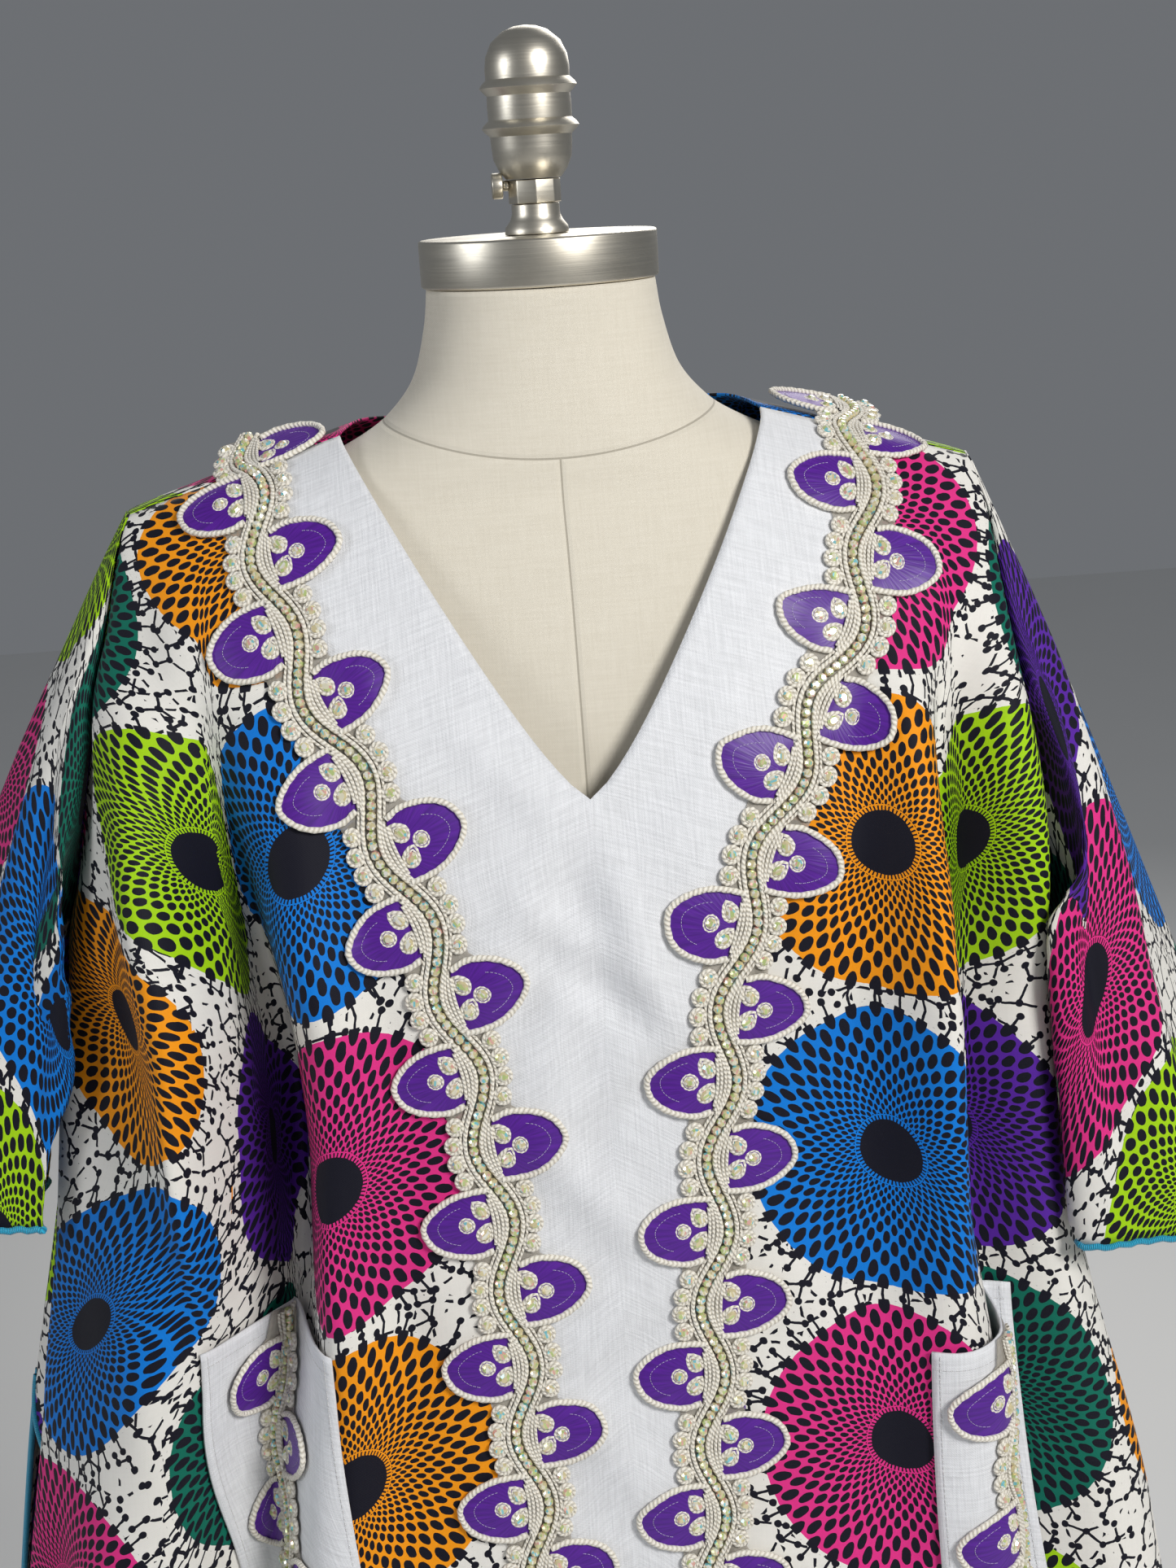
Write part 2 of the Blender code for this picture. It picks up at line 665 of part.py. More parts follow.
def torso_point(level, angle):
    """Point on an oval section whose front and back differ in depth."""
    depth = level.front if math.sin(angle) < 0 else level.back
    x = level.half * math.copysign(abs(math.cos(angle)) ** 0.88, math.cos(angle))
    y = depth * math.copysign(abs(math.sin(angle)) ** 0.88, math.sin(angle))
    return Vector((x, y, level.z))


def build_torso(finish):
    points, faces = [], []
    for level in TORSO:
        for k in range(TORSO_SIDES):
            points.append(torso_point(level, 2 * math.pi * k / TORSO_SIDES))
    for r in range(len(TORSO) - 1):
        for k in range(TORSO_SIDES):
            a, b = r * TORSO_SIDES, (r + 1) * TORSO_SIDES
            k1 = (k + 1) % TORSO_SIDES
            faces.append((a + k, a + k1, b + k1, b + k))
    faces.append(tuple(range(TORSO_SIDES)))
    faces.append(tuple((len(TORSO) - 1) * TORSO_SIDES + k for k in range(TORSO_SIDES)))
    made = object_from("form_torso", points, faces, finish)
    point_outwards(made)


def build_stand(metal):
    """Neck cap, finial on its collar, side screw, pole and base."""
    edge = CAP_EDGE
    turned("neck_cap", (
        (CAP_HALF - edge, 0.0), (CAP_HALF, edge), (CAP_HALF, CAP_HEIGHT - edge), (CAP_HALF - edge, CAP_HEIGHT),
    ), CAP_BOTTOM, 32, metal)
    foot = CAP_BOTTOM + CAP_HEIGHT + SEAM_GAP
    turned("collar_foot", COLLAR_FOOT, foot, ROUND_SIDES, metal)
    turned("collar_nut", COLLAR_NUT, foot, 8, metal)
    turned("finial", FINIAL_PROFILE, foot + COLLAR_NUT[-1][1] + SEAM_GAP, ROUND_SIDES, metal)
    screw = turned("collar_screw", ((0.0058, 0.0), (0.0058, 0.0050), (0.0024, 0.0053), (0.0024, 0.0080)),
                   0.0, 6, metal)
    nut_middle = foot + (COLLAR_NUT[0][1] + COLLAR_NUT[1][1]) / 2
    screw.rotation_euler = (0.0, math.radians(90), 0.0)
    screw.location = (-COLLAR_NUT[0][0] * math.cos(math.pi / 8) - 0.0080 - SEAM_GAP, 0.0, nut_middle + 0.003)
    turned("stand_pole", ((POLE_RADIUS, 0.0), (POLE_RADIUS, TORSO[-1].z - SEAM_GAP - POLE_BOTTOM)),
           POLE_BOTTOM, ROUND_SIDES, metal)
    turned("stand_base", (
        (BASE_RADIUS - 0.004, 0.0), (BASE_RADIUS, 0.004), (BASE_RADIUS - 0.002, BASE_HEIGHT * 0.7),
        (BASE_RADIUS * 0.90, BASE_HEIGHT), (0.035, BASE_HEIGHT * 1.15), (0.024, 0.022),
        (0.021, POLE_BOTTOM - SEAM_GAP),
    ), 0.0, 40, metal)


def trim_strip(name, samples, finish, phase, gap):
    """Scalloped strip on the cloth: a ridge down its middle and thin petal edges.

    samples are rows of (point, normal) on the cloth, from the strip's left edge to its right edge.
    """
    rows = []
    for a, b in zip(samples, samples[1:]):
        middle = len(a) // 2
        steps = max(1, round((b[middle][0] - a[middle][0]).length / TRIM_ROW_STEP))
        for k in range(steps):
            rows.append([(pa.lerp(pb, k / steps), na.lerp(nb, k / steps).normalized())
                         for (pa, na), (pb, nb) in zip(a, b)])
    rows.append(samples[-1])
    outer, inner = [], []
    length = 0.0
    inside = 1.0 - 1.0 / middle
    for i, row in enumerate(rows):
        if i:
            length += (row[middle][0] - rows[i - 1][middle][0]).length
        outer_line, inner_line = [], []
        for k, (base, normal) in enumerate(row):
            thick = TRIM_RIDGE if k == middle else TRIM_BACKING
            if k in (0, len(row) - 1):
                reach = petal_reach(length, 0.5 if k else 0.0, phase) / TRIM_PETAL
                share = max((reach - inside) / (1.0 - inside), 0.10)
                next_base, next_normal = row[k - 1 if k else 1]
                base = next_base.lerp(base, share)
                normal = next_normal.lerp(normal, share).normalized()
            inner_line.append(base + normal * gap)
            outer_line.append(base + normal * (gap + thick))
        outer.append(outer_line)
        inner.append(inner_line)
    wall(name, outer, inner, finish)


def petal_reach(length, offset, phase):
    """Distance from the middle to the scalloped edge at a length along the trim."""
    place = (length / TRIM_REPEAT + offset + phase) % 1.0
    if place > PETAL_SHARE:
        return TRIM_WAIST
    return mix(TRIM_WAIST, TRIM_PETAL * 0.97, math.sin(math.pi * place / PETAL_SHARE) ** 0.6)


def long_trim(name, side, finish):
    samples = []
    for row in PANEL_ROWS:
        row = top_row(row)
        seam = seam_x(side, row)
        width = abs(seam) - v_half(row)
        inner_x = seam - side * min(TRIM_PETAL, 0.80 * width)
        outer_x = seam + side * TRIM_PETAL
        places = [place_at_x(x, row) for x in sorted((inner_x, seam, outer_x))]
        samples.append([(surface_point("front", p, row), surface_normal("front", p, row)) for p in places])
    trim_strip(name, samples, finish, TRIM_PHASE[side], LAY_GAP)


def build_pocket(pocket, panel, white, beads):
    """Patch pocket on its panel's own points, with a trim down it."""
    columns = range(pocket.first, pocket.last + 1)
    rows = range(PANEL_ROWS.index(pocket.top_row), PANEL_ROWS.index(pocket.bottom_row) + 1)
    outer, inner = [], []
    for r in rows:
        outer_line, inner_line = [], []
        for c in columns:
            across = (c - pocket.first) / (pocket.last - pocket.first)
            normal = (panel[0][r][c] - panel[1][r][c]).normalized()
            gape = POCKET_GAPE * math.sin(math.pi * across) * max(1.0 - (r - rows[0]) / 2.0, 0.0)
            inner_line.append(panel[0][r][c] + normal * (LAY_GAP + gape))
            outer_line.append(panel[0][r][c] + normal * (LAY_GAP + gape + CLOTH))
        outer.append(outer_line)
        inner.append(inner_line)
    wall(pocket.name, outer, inner, white)
    middle = pocket.trim_column - pocket.first
    across = [middle + pocket.side * step for step in (-2, -1, 0, 1, 2)]
    samples = []
    for outer_line, inner_line in zip(outer, inner):
        samples.append([(outer_line[c], (outer_line[c] - inner_line[c]).normalized()) for c in across])
    trim_strip(pocket.trim_name, samples, beads, 0.0, POCKET_TRIM_GAP)


def build_dress():
    print_cloth = material("wax_print_cotton", (0.30, 0.36, 0.42), 0.75)
    white_cloth = material("white_cotton", (0.86, 0.87, 0.89), 0.70)
    trim_cloth = material("ivory_cord_trim", (0.78, 0.73, 0.62), 0.60)
    turquoise = material("turquoise_thread", (0.02, 0.45, 0.62), 0.50)
    white_panel(white_cloth)
    grids = {}
    for side, name in ((-1, "front_left"), (1, "front_right")):
        grids[side] = panel_grid("front", print_panel_lines(side))
        wall(name, *grids[side], print_cloth)
        long_trim("trim" + name[5:], side, trim_cloth)
    back_panel(print_cloth)
    edge_roll("front_edge_roll", "front", turquoise)
    edge_roll("back_edge_roll", "back", turquoise)
    for sleeve in SLEEVES:
        outer, inner = sleeve_grid(sleeve)
        wall(sleeve.name, outer, inner, print_cloth, ring=True)
        drop = Vector((0, 0, -(ROLL_RADIUS + SEAM_GAP)))
        path = [(a + b) / 2 + drop for a, b in zip(outer[-1], inner[-1])]
        tube_along(sleeve.name + "_hem", path, ROLL_RADIUS, turquoise, ring=True)
    for pocket in POCKETS:
        build_pocket(pocket, grids[pocket.side], white_cloth, trim_cloth)


def clear_scene():
    for made in list(bpy.data.objects):
        bpy.data.objects.remove(made, do_unlink=True)


def main():
    clear_scene()
    linen = material("cream_linen", (0.78, 0.74, 0.65), 0.80)
    metal = material("brushed_nickel", (0.62, 0.58, 0.52), 0.32, 1.0)
    build_torso(linen)
    build_stand(metal)
    build_dress()


main()
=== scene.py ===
import math
from collections import namedtuple

import bmesh
import bpy
import numpy as np
from mathutils import Matrix, Vector


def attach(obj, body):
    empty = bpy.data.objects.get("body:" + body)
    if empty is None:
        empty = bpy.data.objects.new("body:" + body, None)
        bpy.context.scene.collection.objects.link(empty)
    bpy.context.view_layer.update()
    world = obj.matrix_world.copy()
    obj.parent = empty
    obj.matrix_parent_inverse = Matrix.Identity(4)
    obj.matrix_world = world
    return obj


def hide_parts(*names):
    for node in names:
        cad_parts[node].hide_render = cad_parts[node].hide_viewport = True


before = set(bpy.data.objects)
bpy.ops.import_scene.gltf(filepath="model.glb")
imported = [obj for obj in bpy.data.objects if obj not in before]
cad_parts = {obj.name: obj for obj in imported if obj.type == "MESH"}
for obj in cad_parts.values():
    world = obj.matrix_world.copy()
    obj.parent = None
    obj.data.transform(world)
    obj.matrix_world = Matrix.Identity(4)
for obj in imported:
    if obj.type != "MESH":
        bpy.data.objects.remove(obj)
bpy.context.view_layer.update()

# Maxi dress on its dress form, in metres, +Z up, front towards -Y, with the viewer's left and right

# Photograph's camera
CAMERA_PLACE = (-0.07, -1.1141, 1.5548)
CAMERA_AZIMUTH = -4.0
CAMERA_DOWN = 15.0
CAMERA_ROLL = 3.5
CAMERA_SENSOR = 36.0
CAMERA_LENS = 54.10

# Cloth's thickness, the gap at its seams, and the longest step of its mesh down the dress
CLOTH = 0.0011
SEAM_GAP = 0.0003
GRID_STEP = 0.006
FINE_ROWS = 600

# Pockets off the cloth, and the stitches round them
POCKET_LIFT = 0.0026
POCKET_GAPE = 0.003
POCKET_GAPE_FADE = 2.5
POCKET_TRIM_LIFT = 0.0006
POCKET_TRIM_INSET = 0.01
POCKET_TRIM_ROWS = 60
POCKET_ROWS = 40
POCKET_COLUMNS = 26
SEWN_PITCH = 0.0030
SEWN_LENGTH = 0.0021
SEWN_RADIUS = 0.00022
SEWN_UP = 0.0001
SEWN_FROM_START = 0.002
SEWN_FROM_END = 0.003

# Rolled edges
ROLL_RADIUS = 0.0017
ROLL_RIPPLE = 0.0006
ROLL_PAST = 0.7
ROLL_BELOW = 0.8
SLIT_POINTS = 130
HEM_POINTS = 180

# Shoulders and neckline
NECK_HALF = 0.098
NECK_HEIGHT = 1.436
SHOULDER_SLOPE = 0.30
SHOULDER_FORWARD = 0.016
SHOULDER_ROLL = 0.006
SHOULDER_ROUND = 0.0004
SHOULDER_ROWS = 3.0
V_BOTTOM_ROW = 5.2
V_CURVE = 0.78
BACK_NECK_ROW = 2.05
BACK_NECK_FLAT = 2.5
BACK_NECK_CURVE = 0.6
FIRST_ROW = 0.025
UNDERARM_ROW = 7.0
SQUARENESS = 0.55

# Quarter section that places across the dress are measured on
QUARTER_SIZE = (0.280, 0.136)
QUARTER_STEPS = 180

# Rows of the dress from the shoulder seam to the hem, as in its solids
Section = namedtuple("Section", "z front back left right arm slope")
SECTIONS = [Section(*row) for row in (
    (1.436, 0.000, 0.000, 0.197, 0.195, 0.000, 1.00),
    (1.430, 0.023, 0.044, 0.200, 0.197, 0.012, 1.00),
    (1.412, 0.053, 0.070, 0.205, 0.200, 0.028, 0.95),
    (1.380, 0.082, 0.086, 0.211, 0.202, 0.043, 0.80),
    (1.335, 0.104, 0.098, 0.219, 0.204, 0.052, 0.55),
    (1.287, 0.121, 0.107, 0.228, 0.207, 0.054, 0.30),
    (1.225, 0.131, 0.112, 0.239, 0.212, 0.042, 0.10),
    (1.155, 0.133, 0.114, 0.252, 0.221, 0.000, 0.00),
    (1.060, 0.134, 0.118, 0.272, 0.234, 0.000, 0.00),
    (0.920, 0.138, 0.125, 0.303, 0.250, 0.000, 0.00),
    (0.700, 0.148, 0.137, 0.336, 0.280, 0.000, 0.00),
    (0.420, 0.160, 0.150, 0.363, 0.320, 0.000, 0.00),
    (0.200, 0.170, 0.160, 0.378, 0.345, 0.000, 0.00),
    (0.045, 0.176, 0.166, 0.386, 0.360, 0.000, 0.00),
)]
LAST_ROW = float(len(SECTIONS) - 1)

# Folds down the dress, as in its solids
Fold = namedtuple("Fold", "start_place full_place hem_place start_z full_z full_depth hem_depth width lean")
FOLDS = {
    "front": [Fold(*row) for row in (
        (0.60, 0.52, 0.46, 1.400, 1.20, 0.014, 0.026, 0.13, 0.000),
        (0.74, 0.67, 0.62, 1.400, 1.04, -0.034, -0.026, 0.11, 0.000),
        (0.86, 0.84, 0.80, 1.060, 0.86, 0.020, 0.030, 0.12, 0.000),
        (-0.52, -0.36, -0.33, 1.380, 1.14, 0.014, 0.022, 0.09, 0.000),
        (-0.54, -0.475, -0.46, 1.310, 1.12, -0.034, -0.030, 0.10, 0.000),
        (-0.64, -0.63, -0.62, 1.300, 1.10, 0.026, 0.032, 0.12, 0.016),
        (-0.90, -0.90, -0.88, 1.240, 1.12, -0.018, -0.020, 0.09, 0.000),
        (0.20, 0.22, 0.20, 1.120, 0.80, 0.004, 0.014, 0.15, 0.000),
        (-0.16, -0.18, -0.18, 1.120, 0.80, 0.004, 0.014, 0.15, 0.000),
    )],
    "back": [Fold(*row) for row in (
        (-0.78, -0.72, -0.68, 1.330, 1.05, -0.020, -0.030, 0.13, 0.000),
        (-0.50, -0.50, -0.46, 1.330, 1.00, 0.014, 0.028, 0.14, 0.000),
        (-0.22, -0.24, -0.22, 1.300, 0.95, -0.012, -0.026, 0.15, 0.000),
        (0.04, 0.02, 0.02, 1.330, 1.00, 0.010, 0.026, 0.15, 0.000),
        (0.30, 0.28, 0.26, 1.300, 0.98, -0.014, -0.028, 0.15, 0.000),
        (0.54, 0.52, 0.50, 1.340, 1.03, 0.014, 0.028, 0.14, 0.000),
        (0.80, 0.76, 0.72, 1.330, 1.06, -0.020, -0.030, 0.13, 0.000),
    )],
}
FOLD_LEAN_DEPTH = 0.02
SIDE_FADE = 0.08

# Steps over which the surface's slopes are read
SURFACE_STEP = 0.004
SLOPE_PLACE_STEP = 0.003
SLOPE_ROW_STEP = 0.02

# Seams under the long trims
SeamPoint = namedtuple("SeamPoint", "row left right")
FRONT_SEAM = [SeamPoint(*row) for row in (
    (0.0, -0.139, 0.140),
    (2.0, -0.137, 0.138),
    (3.5, -0.126, 0.127),
    (5.0, -0.098, 0.092),
    (6.2, -0.072, 0.062),
    (7.7, -0.053, 0.046),
    (9.0, -0.046, 0.036),
    (13.0, -0.044, 0.036),
)]

# Side slits
SLIT_TOP = 1.005
SLIT_FULL = 0.860
SLIT_SHARE = 0.12
SLIT_TOP_ROW = 8.7

# Creases laid over the folds: from one spot to another on a panel, seen from its front
Crease = namedtuple("Crease", "x1 z1 x2 z2 depth width")
CREASES = {
    "front": [Crease(*row) for row in (
        (-0.010, 1.270, -0.062, 1.318, 0.0022, 0.009),
        (0.004, 1.262, 0.055, 1.305, -0.0020, 0.010),
        (-0.002, 1.262, -0.042, 1.165, -0.0038, 0.010),
        (0.004, 1.258, 0.036, 1.150, 0.0035, 0.009),
        (0.002, 1.252, -0.012, 1.110, -0.0028, 0.011),
        (-0.038, 1.240, 0.034, 1.190, 0.0023, 0.007),
        (-0.030, 1.215, 0.040, 1.160, -0.0014, 0.006),
        (0.045, 1.170, -0.030, 1.105, -0.0029, 0.009),
        (-0.038, 1.130, 0.024, 1.060, 0.0030, 0.010),
        (0.030, 1.040, -0.032, 0.985, -0.0029, 0.011),
        (-0.030, 1.000, 0.020, 0.930, 0.0026, 0.012),
        (0.110, 1.370, 0.072, 1.300, -0.0013, 0.009),
        (-0.116, 1.372, -0.083, 1.316, 0.0012, 0.008),
        (-0.170, 1.320, -0.152, 1.000, -0.0260, 0.014),
        (-0.172, 0.780, -0.200, 0.300, -0.0110, 0.020),
        (-0.236, 1.250, -0.256, 0.900, 0.0090, 0.020),
        (0.170, 1.325, 0.176, 1.010, -0.0200, 0.013),
        (-0.200, 1.330, -0.184, 1.010, 0.0120, 0.014),
        (-0.146, 1.290, -0.126, 1.000, 0.0080, 0.011),
        (0.200, 1.320, 0.208, 1.020, 0.0100, 0.013),
        (0.148, 1.300, 0.152, 1.010, 0.0060, 0.012),
        (-0.200, 1.380, -0.165, 1.265, -0.0045, 0.014),
        (-0.175, 1.370, -0.190, 1.245, 0.0035, 0.012),
        (-0.150, 1.255, -0.105, 1.165, 0.0030, 0.012),
        (-0.130, 1.110, -0.085, 1.010, -0.0028, 0.012),
        (-0.215, 1.140, -0.235, 0.960, 0.0040, 0.014),
        (-0.245, 1.060, -0.220, 0.840, -0.0040, 0.015),
        (-0.105, 0.960, -0.120, 0.760, 0.0032, 0.014),
        (0.180, 1.350, 0.150, 1.225, -0.0040, 0.013),
        (0.165, 1.385, 0.178, 1.285, 0.0032, 0.010),
        (0.118, 1.290, 0.090, 1.190, 0.0026, 0.012),
        (0.150, 1.190, 0.120, 1.050, 0.0034, 0.014),
        (0.085, 1.110, 0.118, 1.000, -0.0028, 0.013),
        (0.205, 1.080, 0.190, 0.900, -0.0040, 0.013),
        (0.110, 0.930, 0.090, 0.740, 0.0030, 0.015),
        (0.230, 0.860, 0.250, 0.600, 0.0050, 0.016),
        (-0.290, 0.820, -0.310, 0.520, 0.0050, 0.018),
        (-0.090, 0.600, -0.075, 0.300, 0.0036, 0.018),
        (0.140, 0.560, 0.160, 0.220, -0.0044, 0.020),
        (0.000, 0.640, 0.012, 0.320, 0.0030, 0.016),
        (-0.200, 0.420, -0.230, 0.110, -0.0044, 0.018),
    )],
    "back": [Crease(*row) for row in (
        (-0.150, 1.360, -0.100, 1.270, 0.0034, 0.013),
        (0.145, 1.350, 0.105, 1.240, -0.0032, 0.012),
        (0.020, 1.330, -0.030, 1.220, 0.0026, 0.013),
        (-0.170, 1.200, -0.120, 1.080, -0.0036, 0.014),
        (0.180, 1.180, 0.140, 1.020, 0.0038, 0.014),
        (0.060, 1.120, 0.020, 0.980, -0.0030, 0.013),
        (-0.060, 1.060, -0.020, 0.900, 0.0034, 0.015),
        (-0.230, 0.960, -0.200, 0.700, 0.0046, 0.017),
        (0.220, 0.900, 0.200, 0.620, -0.0042, 0.016),
        (0.090, 0.780, 0.110, 0.480, 0.0042, 0.018),
        (-0.110, 0.680, -0.130, 0.360, -0.0044, 0.018),
        (0.000, 0.520, 0.020, 0.200, 0.0040, 0.020),
        (0.270, 0.480, 0.290, 0.160, 0.0044, 0.018),
        (-0.270, 0.440, -0.290, 0.120, -0.0044, 0.018),
    )],
}
CREASE_BEND = 12.0
CREASE_BANK = 0.45
CREASE_BANK_AT = 2.1

# Sleeves, as in their solids, and the creases on them
Sleeve = namedtuple("Sleeve", "name side middle_x middle_y half_x half_y hem_z turn")
SLEEVES = (
    Sleeve("sleeve_left", -1, 0.312, 0.010, 0.044, 0.112, 1.088, 26.0),
    Sleeve("sleeve_right", 1, 0.292, 0.010, 0.048, 0.115, 1.030, 26.0),
)
SLEEVE_BULGE = 0.040
SLEEVE_CAP = 0.008
SLEEVE_CLEAR = 0.016
SLEEVE_SQUARENESS = 0.85
SLEEVE_ROWS = 62
SLEEVE_COLUMNS = 104
SLEEVE_CREASE_BANK = 0.4
SLEEVE_CREASE_BANK_AT = 2.0
SLEEVE_EVENINGS = 3
SLEEVE_EVEN_SHARE = 0.6
SleeveFold = namedtuple("SleeveFold", "angle depth width")
SLEEVE_FOLDS = [SleeveFold(*row) for row in (
    (40.0, 0.007, 26.0),
    (72.0, -0.008, 26.0),
    (110.0, 0.008, 28.0),
    (225.0, -0.008, 30.0),
    (270.0, 0.008, 30.0),
    (318.0, -0.008, 26.0),
)]
SleeveCrease = namedtuple("SleeveCrease", "angle1 share1 angle2 share2 depth width")
SLEEVE_CREASES = [SleeveCrease(*row) for row in (
    (20.0, 0.10, 32.0, 0.60, 0.0030, 9.0),
    (58.0, 0.06, 50.0, 0.45, -0.0034, 8.0),
    (88.0, 0.20, 84.0, 0.95, 0.0036, 8.0),
    (62.0, 0.50, 70.0, 1.00, 0.0030, 8.0),
    (30.0, 0.55, 22.0, 1.00, -0.0026, 9.0),
    (250.0, 0.15, 246.0, 0.75, 0.0034, 10.0),
    (292.0, 0.35, 298.0, 1.00, -0.0032, 9.0),
    (340.0, 0.20, 334.0, 0.80, 0.0028, 9.0),
)]

# Patch pockets: rows, shares of the panel's width, and the share where the trim runs
Pocket = namedtuple("Pocket", "name trim_name side top_row bottom_row first last trim_share")
POCKETS = (
    Pocket("pocket_left", "pocket_trim_left", -1, 8.2, 9.5, 0.17, 0.43, 0.30),
    Pocket("pocket_right", "pocket_trim_right", 1, 8.45, 9.75, 0.29, 0.62, 0.44),
)

# Beaded trim, in metres along it, out from its middle and up off the cloth
TRIM_REPEAT = 0.0717
TRIM_PETAL = 0.0360
TRIM_WAVE = 0.0060
TRIM_LIFT = 0.0004
TRIM_ROWS = 900
TRIM_STARTS = {
    "trim_left": 0.0270,
    "trim_right": 0.0450,
    "pocket_trim_left": 0.0300,
    "pocket_trim_right": 0.0300,
}
TRIM_TAILS = {"trim_left": 0.028, "trim_right": 0.044}
TAIL_CURLS = {"trim_left": 5.0, "trim_right": -1.5}
RIBBON_STEP = 0.004
RIBBON_ACROSS = 0.006
RIBBON_REACH = 7

# Waving line of crystals, and its cords as (distance from the line, height, radius)
BEAD_PITCH = 0.0044
BEAD_UP = 0.0004
MIDDLE_STEP = 0.0024
MIDDLE_CORDS = ((0.0036, 0.0017, 0.0011), (0.0056, 0.0013, 0.0007))
BRAID_PITCH = 0.0048
BRAID_DEPTH = 0.12

# Petals, as (out, down) from the middle of the trim
PETAL_FROM_START = 0.014
PETAL_FROM_END = 0.012
PETAL_OUTLINE = (
    (0.0040, -0.0160), (0.0110, -0.0160), (0.0200, -0.0144), (0.0285, -0.0098), (0.0344, -0.0036),
    (0.0350, 0.0022), (0.0314, 0.0090), (0.0240, 0.0136), (0.0130, 0.0156), (0.0050, 0.0134),
)
PETAL_ROOT = (0.0030, 0.0)
PETAL_MIDDLE = (0.0170, 0.0)
PETAL_RINGS = 5
PETAL_SIDES = 28
PETAL_CORD_POINTS = 30
PETAL_LOW = 0.0012
PETAL_DOME = 0.0011
PETAL_FAN_ROOT = 0.002
PETAL_FAN_WIDTH = 0.02
PETAL_CORD_UP = 0.0018
PETAL_CORD_RADIUS = 0.0015

# Cups on and beside each petal, and their rings as (radius, cord's radius, height)
CUP_SPOTS = ((0.0132, -0.0140), (0.0148, -0.0050), (0.0145, 0.0038), (0.0120, 0.0127))
TEAR_SPOTS = ((0.0080, -0.0063), (0.0082, 0.0053))
ROUND_SPOT = (0.0156, -0.0004)
CUP_RINGS = ((0.0036, 0.0011, 0.0014), (0.0024, 0.0006, 0.0019))
CUP_SIDES = 12
CUP_BEAD_UP = 0.0016
TEAR_DRAW = 0.55
TEAR_TURN = 0.6
TEAR_STRETCH = 1.35

# Nested cords at each petal's root
ROOT_CORDS = (-0.0006, 0.0013, 0.0031)
ROOT_REACH = 0.0165
ROOT_SHORT = 0.0015
ROOT_POINTS = 15
ROOT_OUT = 0.0040
ROOT_SPREAD = 0.0006
ROOT_UP = 0.0019
ROOT_RISE = 0.0002
ROOT_RADIUS = 0.00085

# Silver stitches inside each petal's edge
STITCH_SHIFT = (0.002, 0.0)
STITCH_SHARE = 0.60
STITCH_UP = 0.0019
STITCH_RADIUS = 0.00016

# Sheer net under the trim
BACKING_ARCH = 0.0165
BACKING_REACH = 0.0325
BACKING_LEAST = 0.0150
BACKING_UP = 0.0007
BACKING_THICKNESS = 0.0004
BACKING_COLUMNS = 13

# Dress form torso, as in its solid
Torso = namedtuple("Torso", "z half front back")
TORSO = [Torso(*row) for row in (
    (1.4975, 0.0530, 0.0530, 0.0530),
    (1.4800, 0.0555, 0.0540, 0.0550),
    (1.4580, 0.0620, 0.0570, 0.0590),
    (1.4430, 0.0735, 0.0600, 0.0620),
    (1.4330, 0.0870, 0.0620, 0.0630),
    (1.4200, 0.1130, 0.0640, 0.0640),
    (1.4050, 0.1400, 0.0665, 0.0660),
    (1.3880, 0.1600, 0.0760, 0.0690),
    (1.3650, 0.1700, 0.0860, 0.0730),
    (1.3300, 0.1730, 0.0960, 0.0790),
    (1.2700, 0.1660, 0.1080, 0.0850),
    (1.2100, 0.1600, 0.1160, 0.0850),
    (1.1400, 0.1400, 0.1000, 0.0780),
    (1.0500, 0.1210, 0.0840, 0.0720),
    (0.9500, 0.1500, 0.0900, 0.0880),
    (0.8500, 0.1720, 0.0950, 0.1000),
    (0.7600, 0.1740, 0.0930, 0.0960),
    (0.7300, 0.1650, 0.0870, 0.0880),
)]

# Torso's mesh and the shape of its sections
TORSO_STEPS = 8
TORSO_COLUMNS = 96
TORSO_SQUARENESS = 0.88

# Seam round the form's neck, and the seam down its front
FORM_SEAM_HEIGHT = 1.4235
FORM_SEAM_RISE = 2.6
FORM_SEAM_HALF = 0.00045
FORM_SEAM_SOFT = 0.0022

# Metal fittings as radius and height above their foot
CAP_BOTTOM = 1.4980
CAP_TOP = 1.5195
CAP_HALF = 0.0552
FINIAL_PROFILE = (
    (0.0128, 0.0000), (0.0158, 0.0040), (0.0180, 0.0090), (0.0185, 0.0140), (0.0188, 0.0190),
    (0.0212, 0.0212), (0.0223, 0.0227), (0.0213, 0.0243), (0.0191, 0.0262), (0.0193, 0.0314),
    (0.0191, 0.0368), (0.0212, 0.0390), (0.0223, 0.0404), (0.0213, 0.0420), (0.0192, 0.0440),
    (0.0193, 0.0487), (0.0186, 0.0540), (0.0158, 0.0600), (0.0102, 0.0648), (0.0052, 0.0666),
    (0.0006, 0.0671),
)
COLLAR_FOOT = ((0.0148, 0.0000), (0.0145, 0.0030), (0.0122, 0.0060), (0.0111, 0.0090), (0.0111, 0.0134))
NUT_RADIUS = 0.0122
NUT_LOW = 0.0137
NUT_HIGH = 0.0244
POLE_RADIUS = 0.0140
POLE_BOTTOM = 0.0330
BASE_RADIUS = 0.1800
BASE_HEIGHT = 0.0140
BASE_PROFILE = (
    (BASE_RADIUS - 0.004, 0.0), (BASE_RADIUS, 0.004), (BASE_RADIUS - 0.002, BASE_HEIGHT * 0.7),
    (BASE_RADIUS * 0.90, BASE_HEIGHT), (0.035, BASE_HEIGHT * 1.15), (0.024, 0.022),
    (0.021, POLE_BOTTOM - SEAM_GAP),
)

# Thumb screw's shank and head: sides, radius, length, and how far left of the nut its middle is
SCREW_CYLINDERS = ((20, 0.0024, 0.0028, 0.0014), (24, 0.0058, 0.0050, 0.0055))
SCREW_ABOVE = 0.003

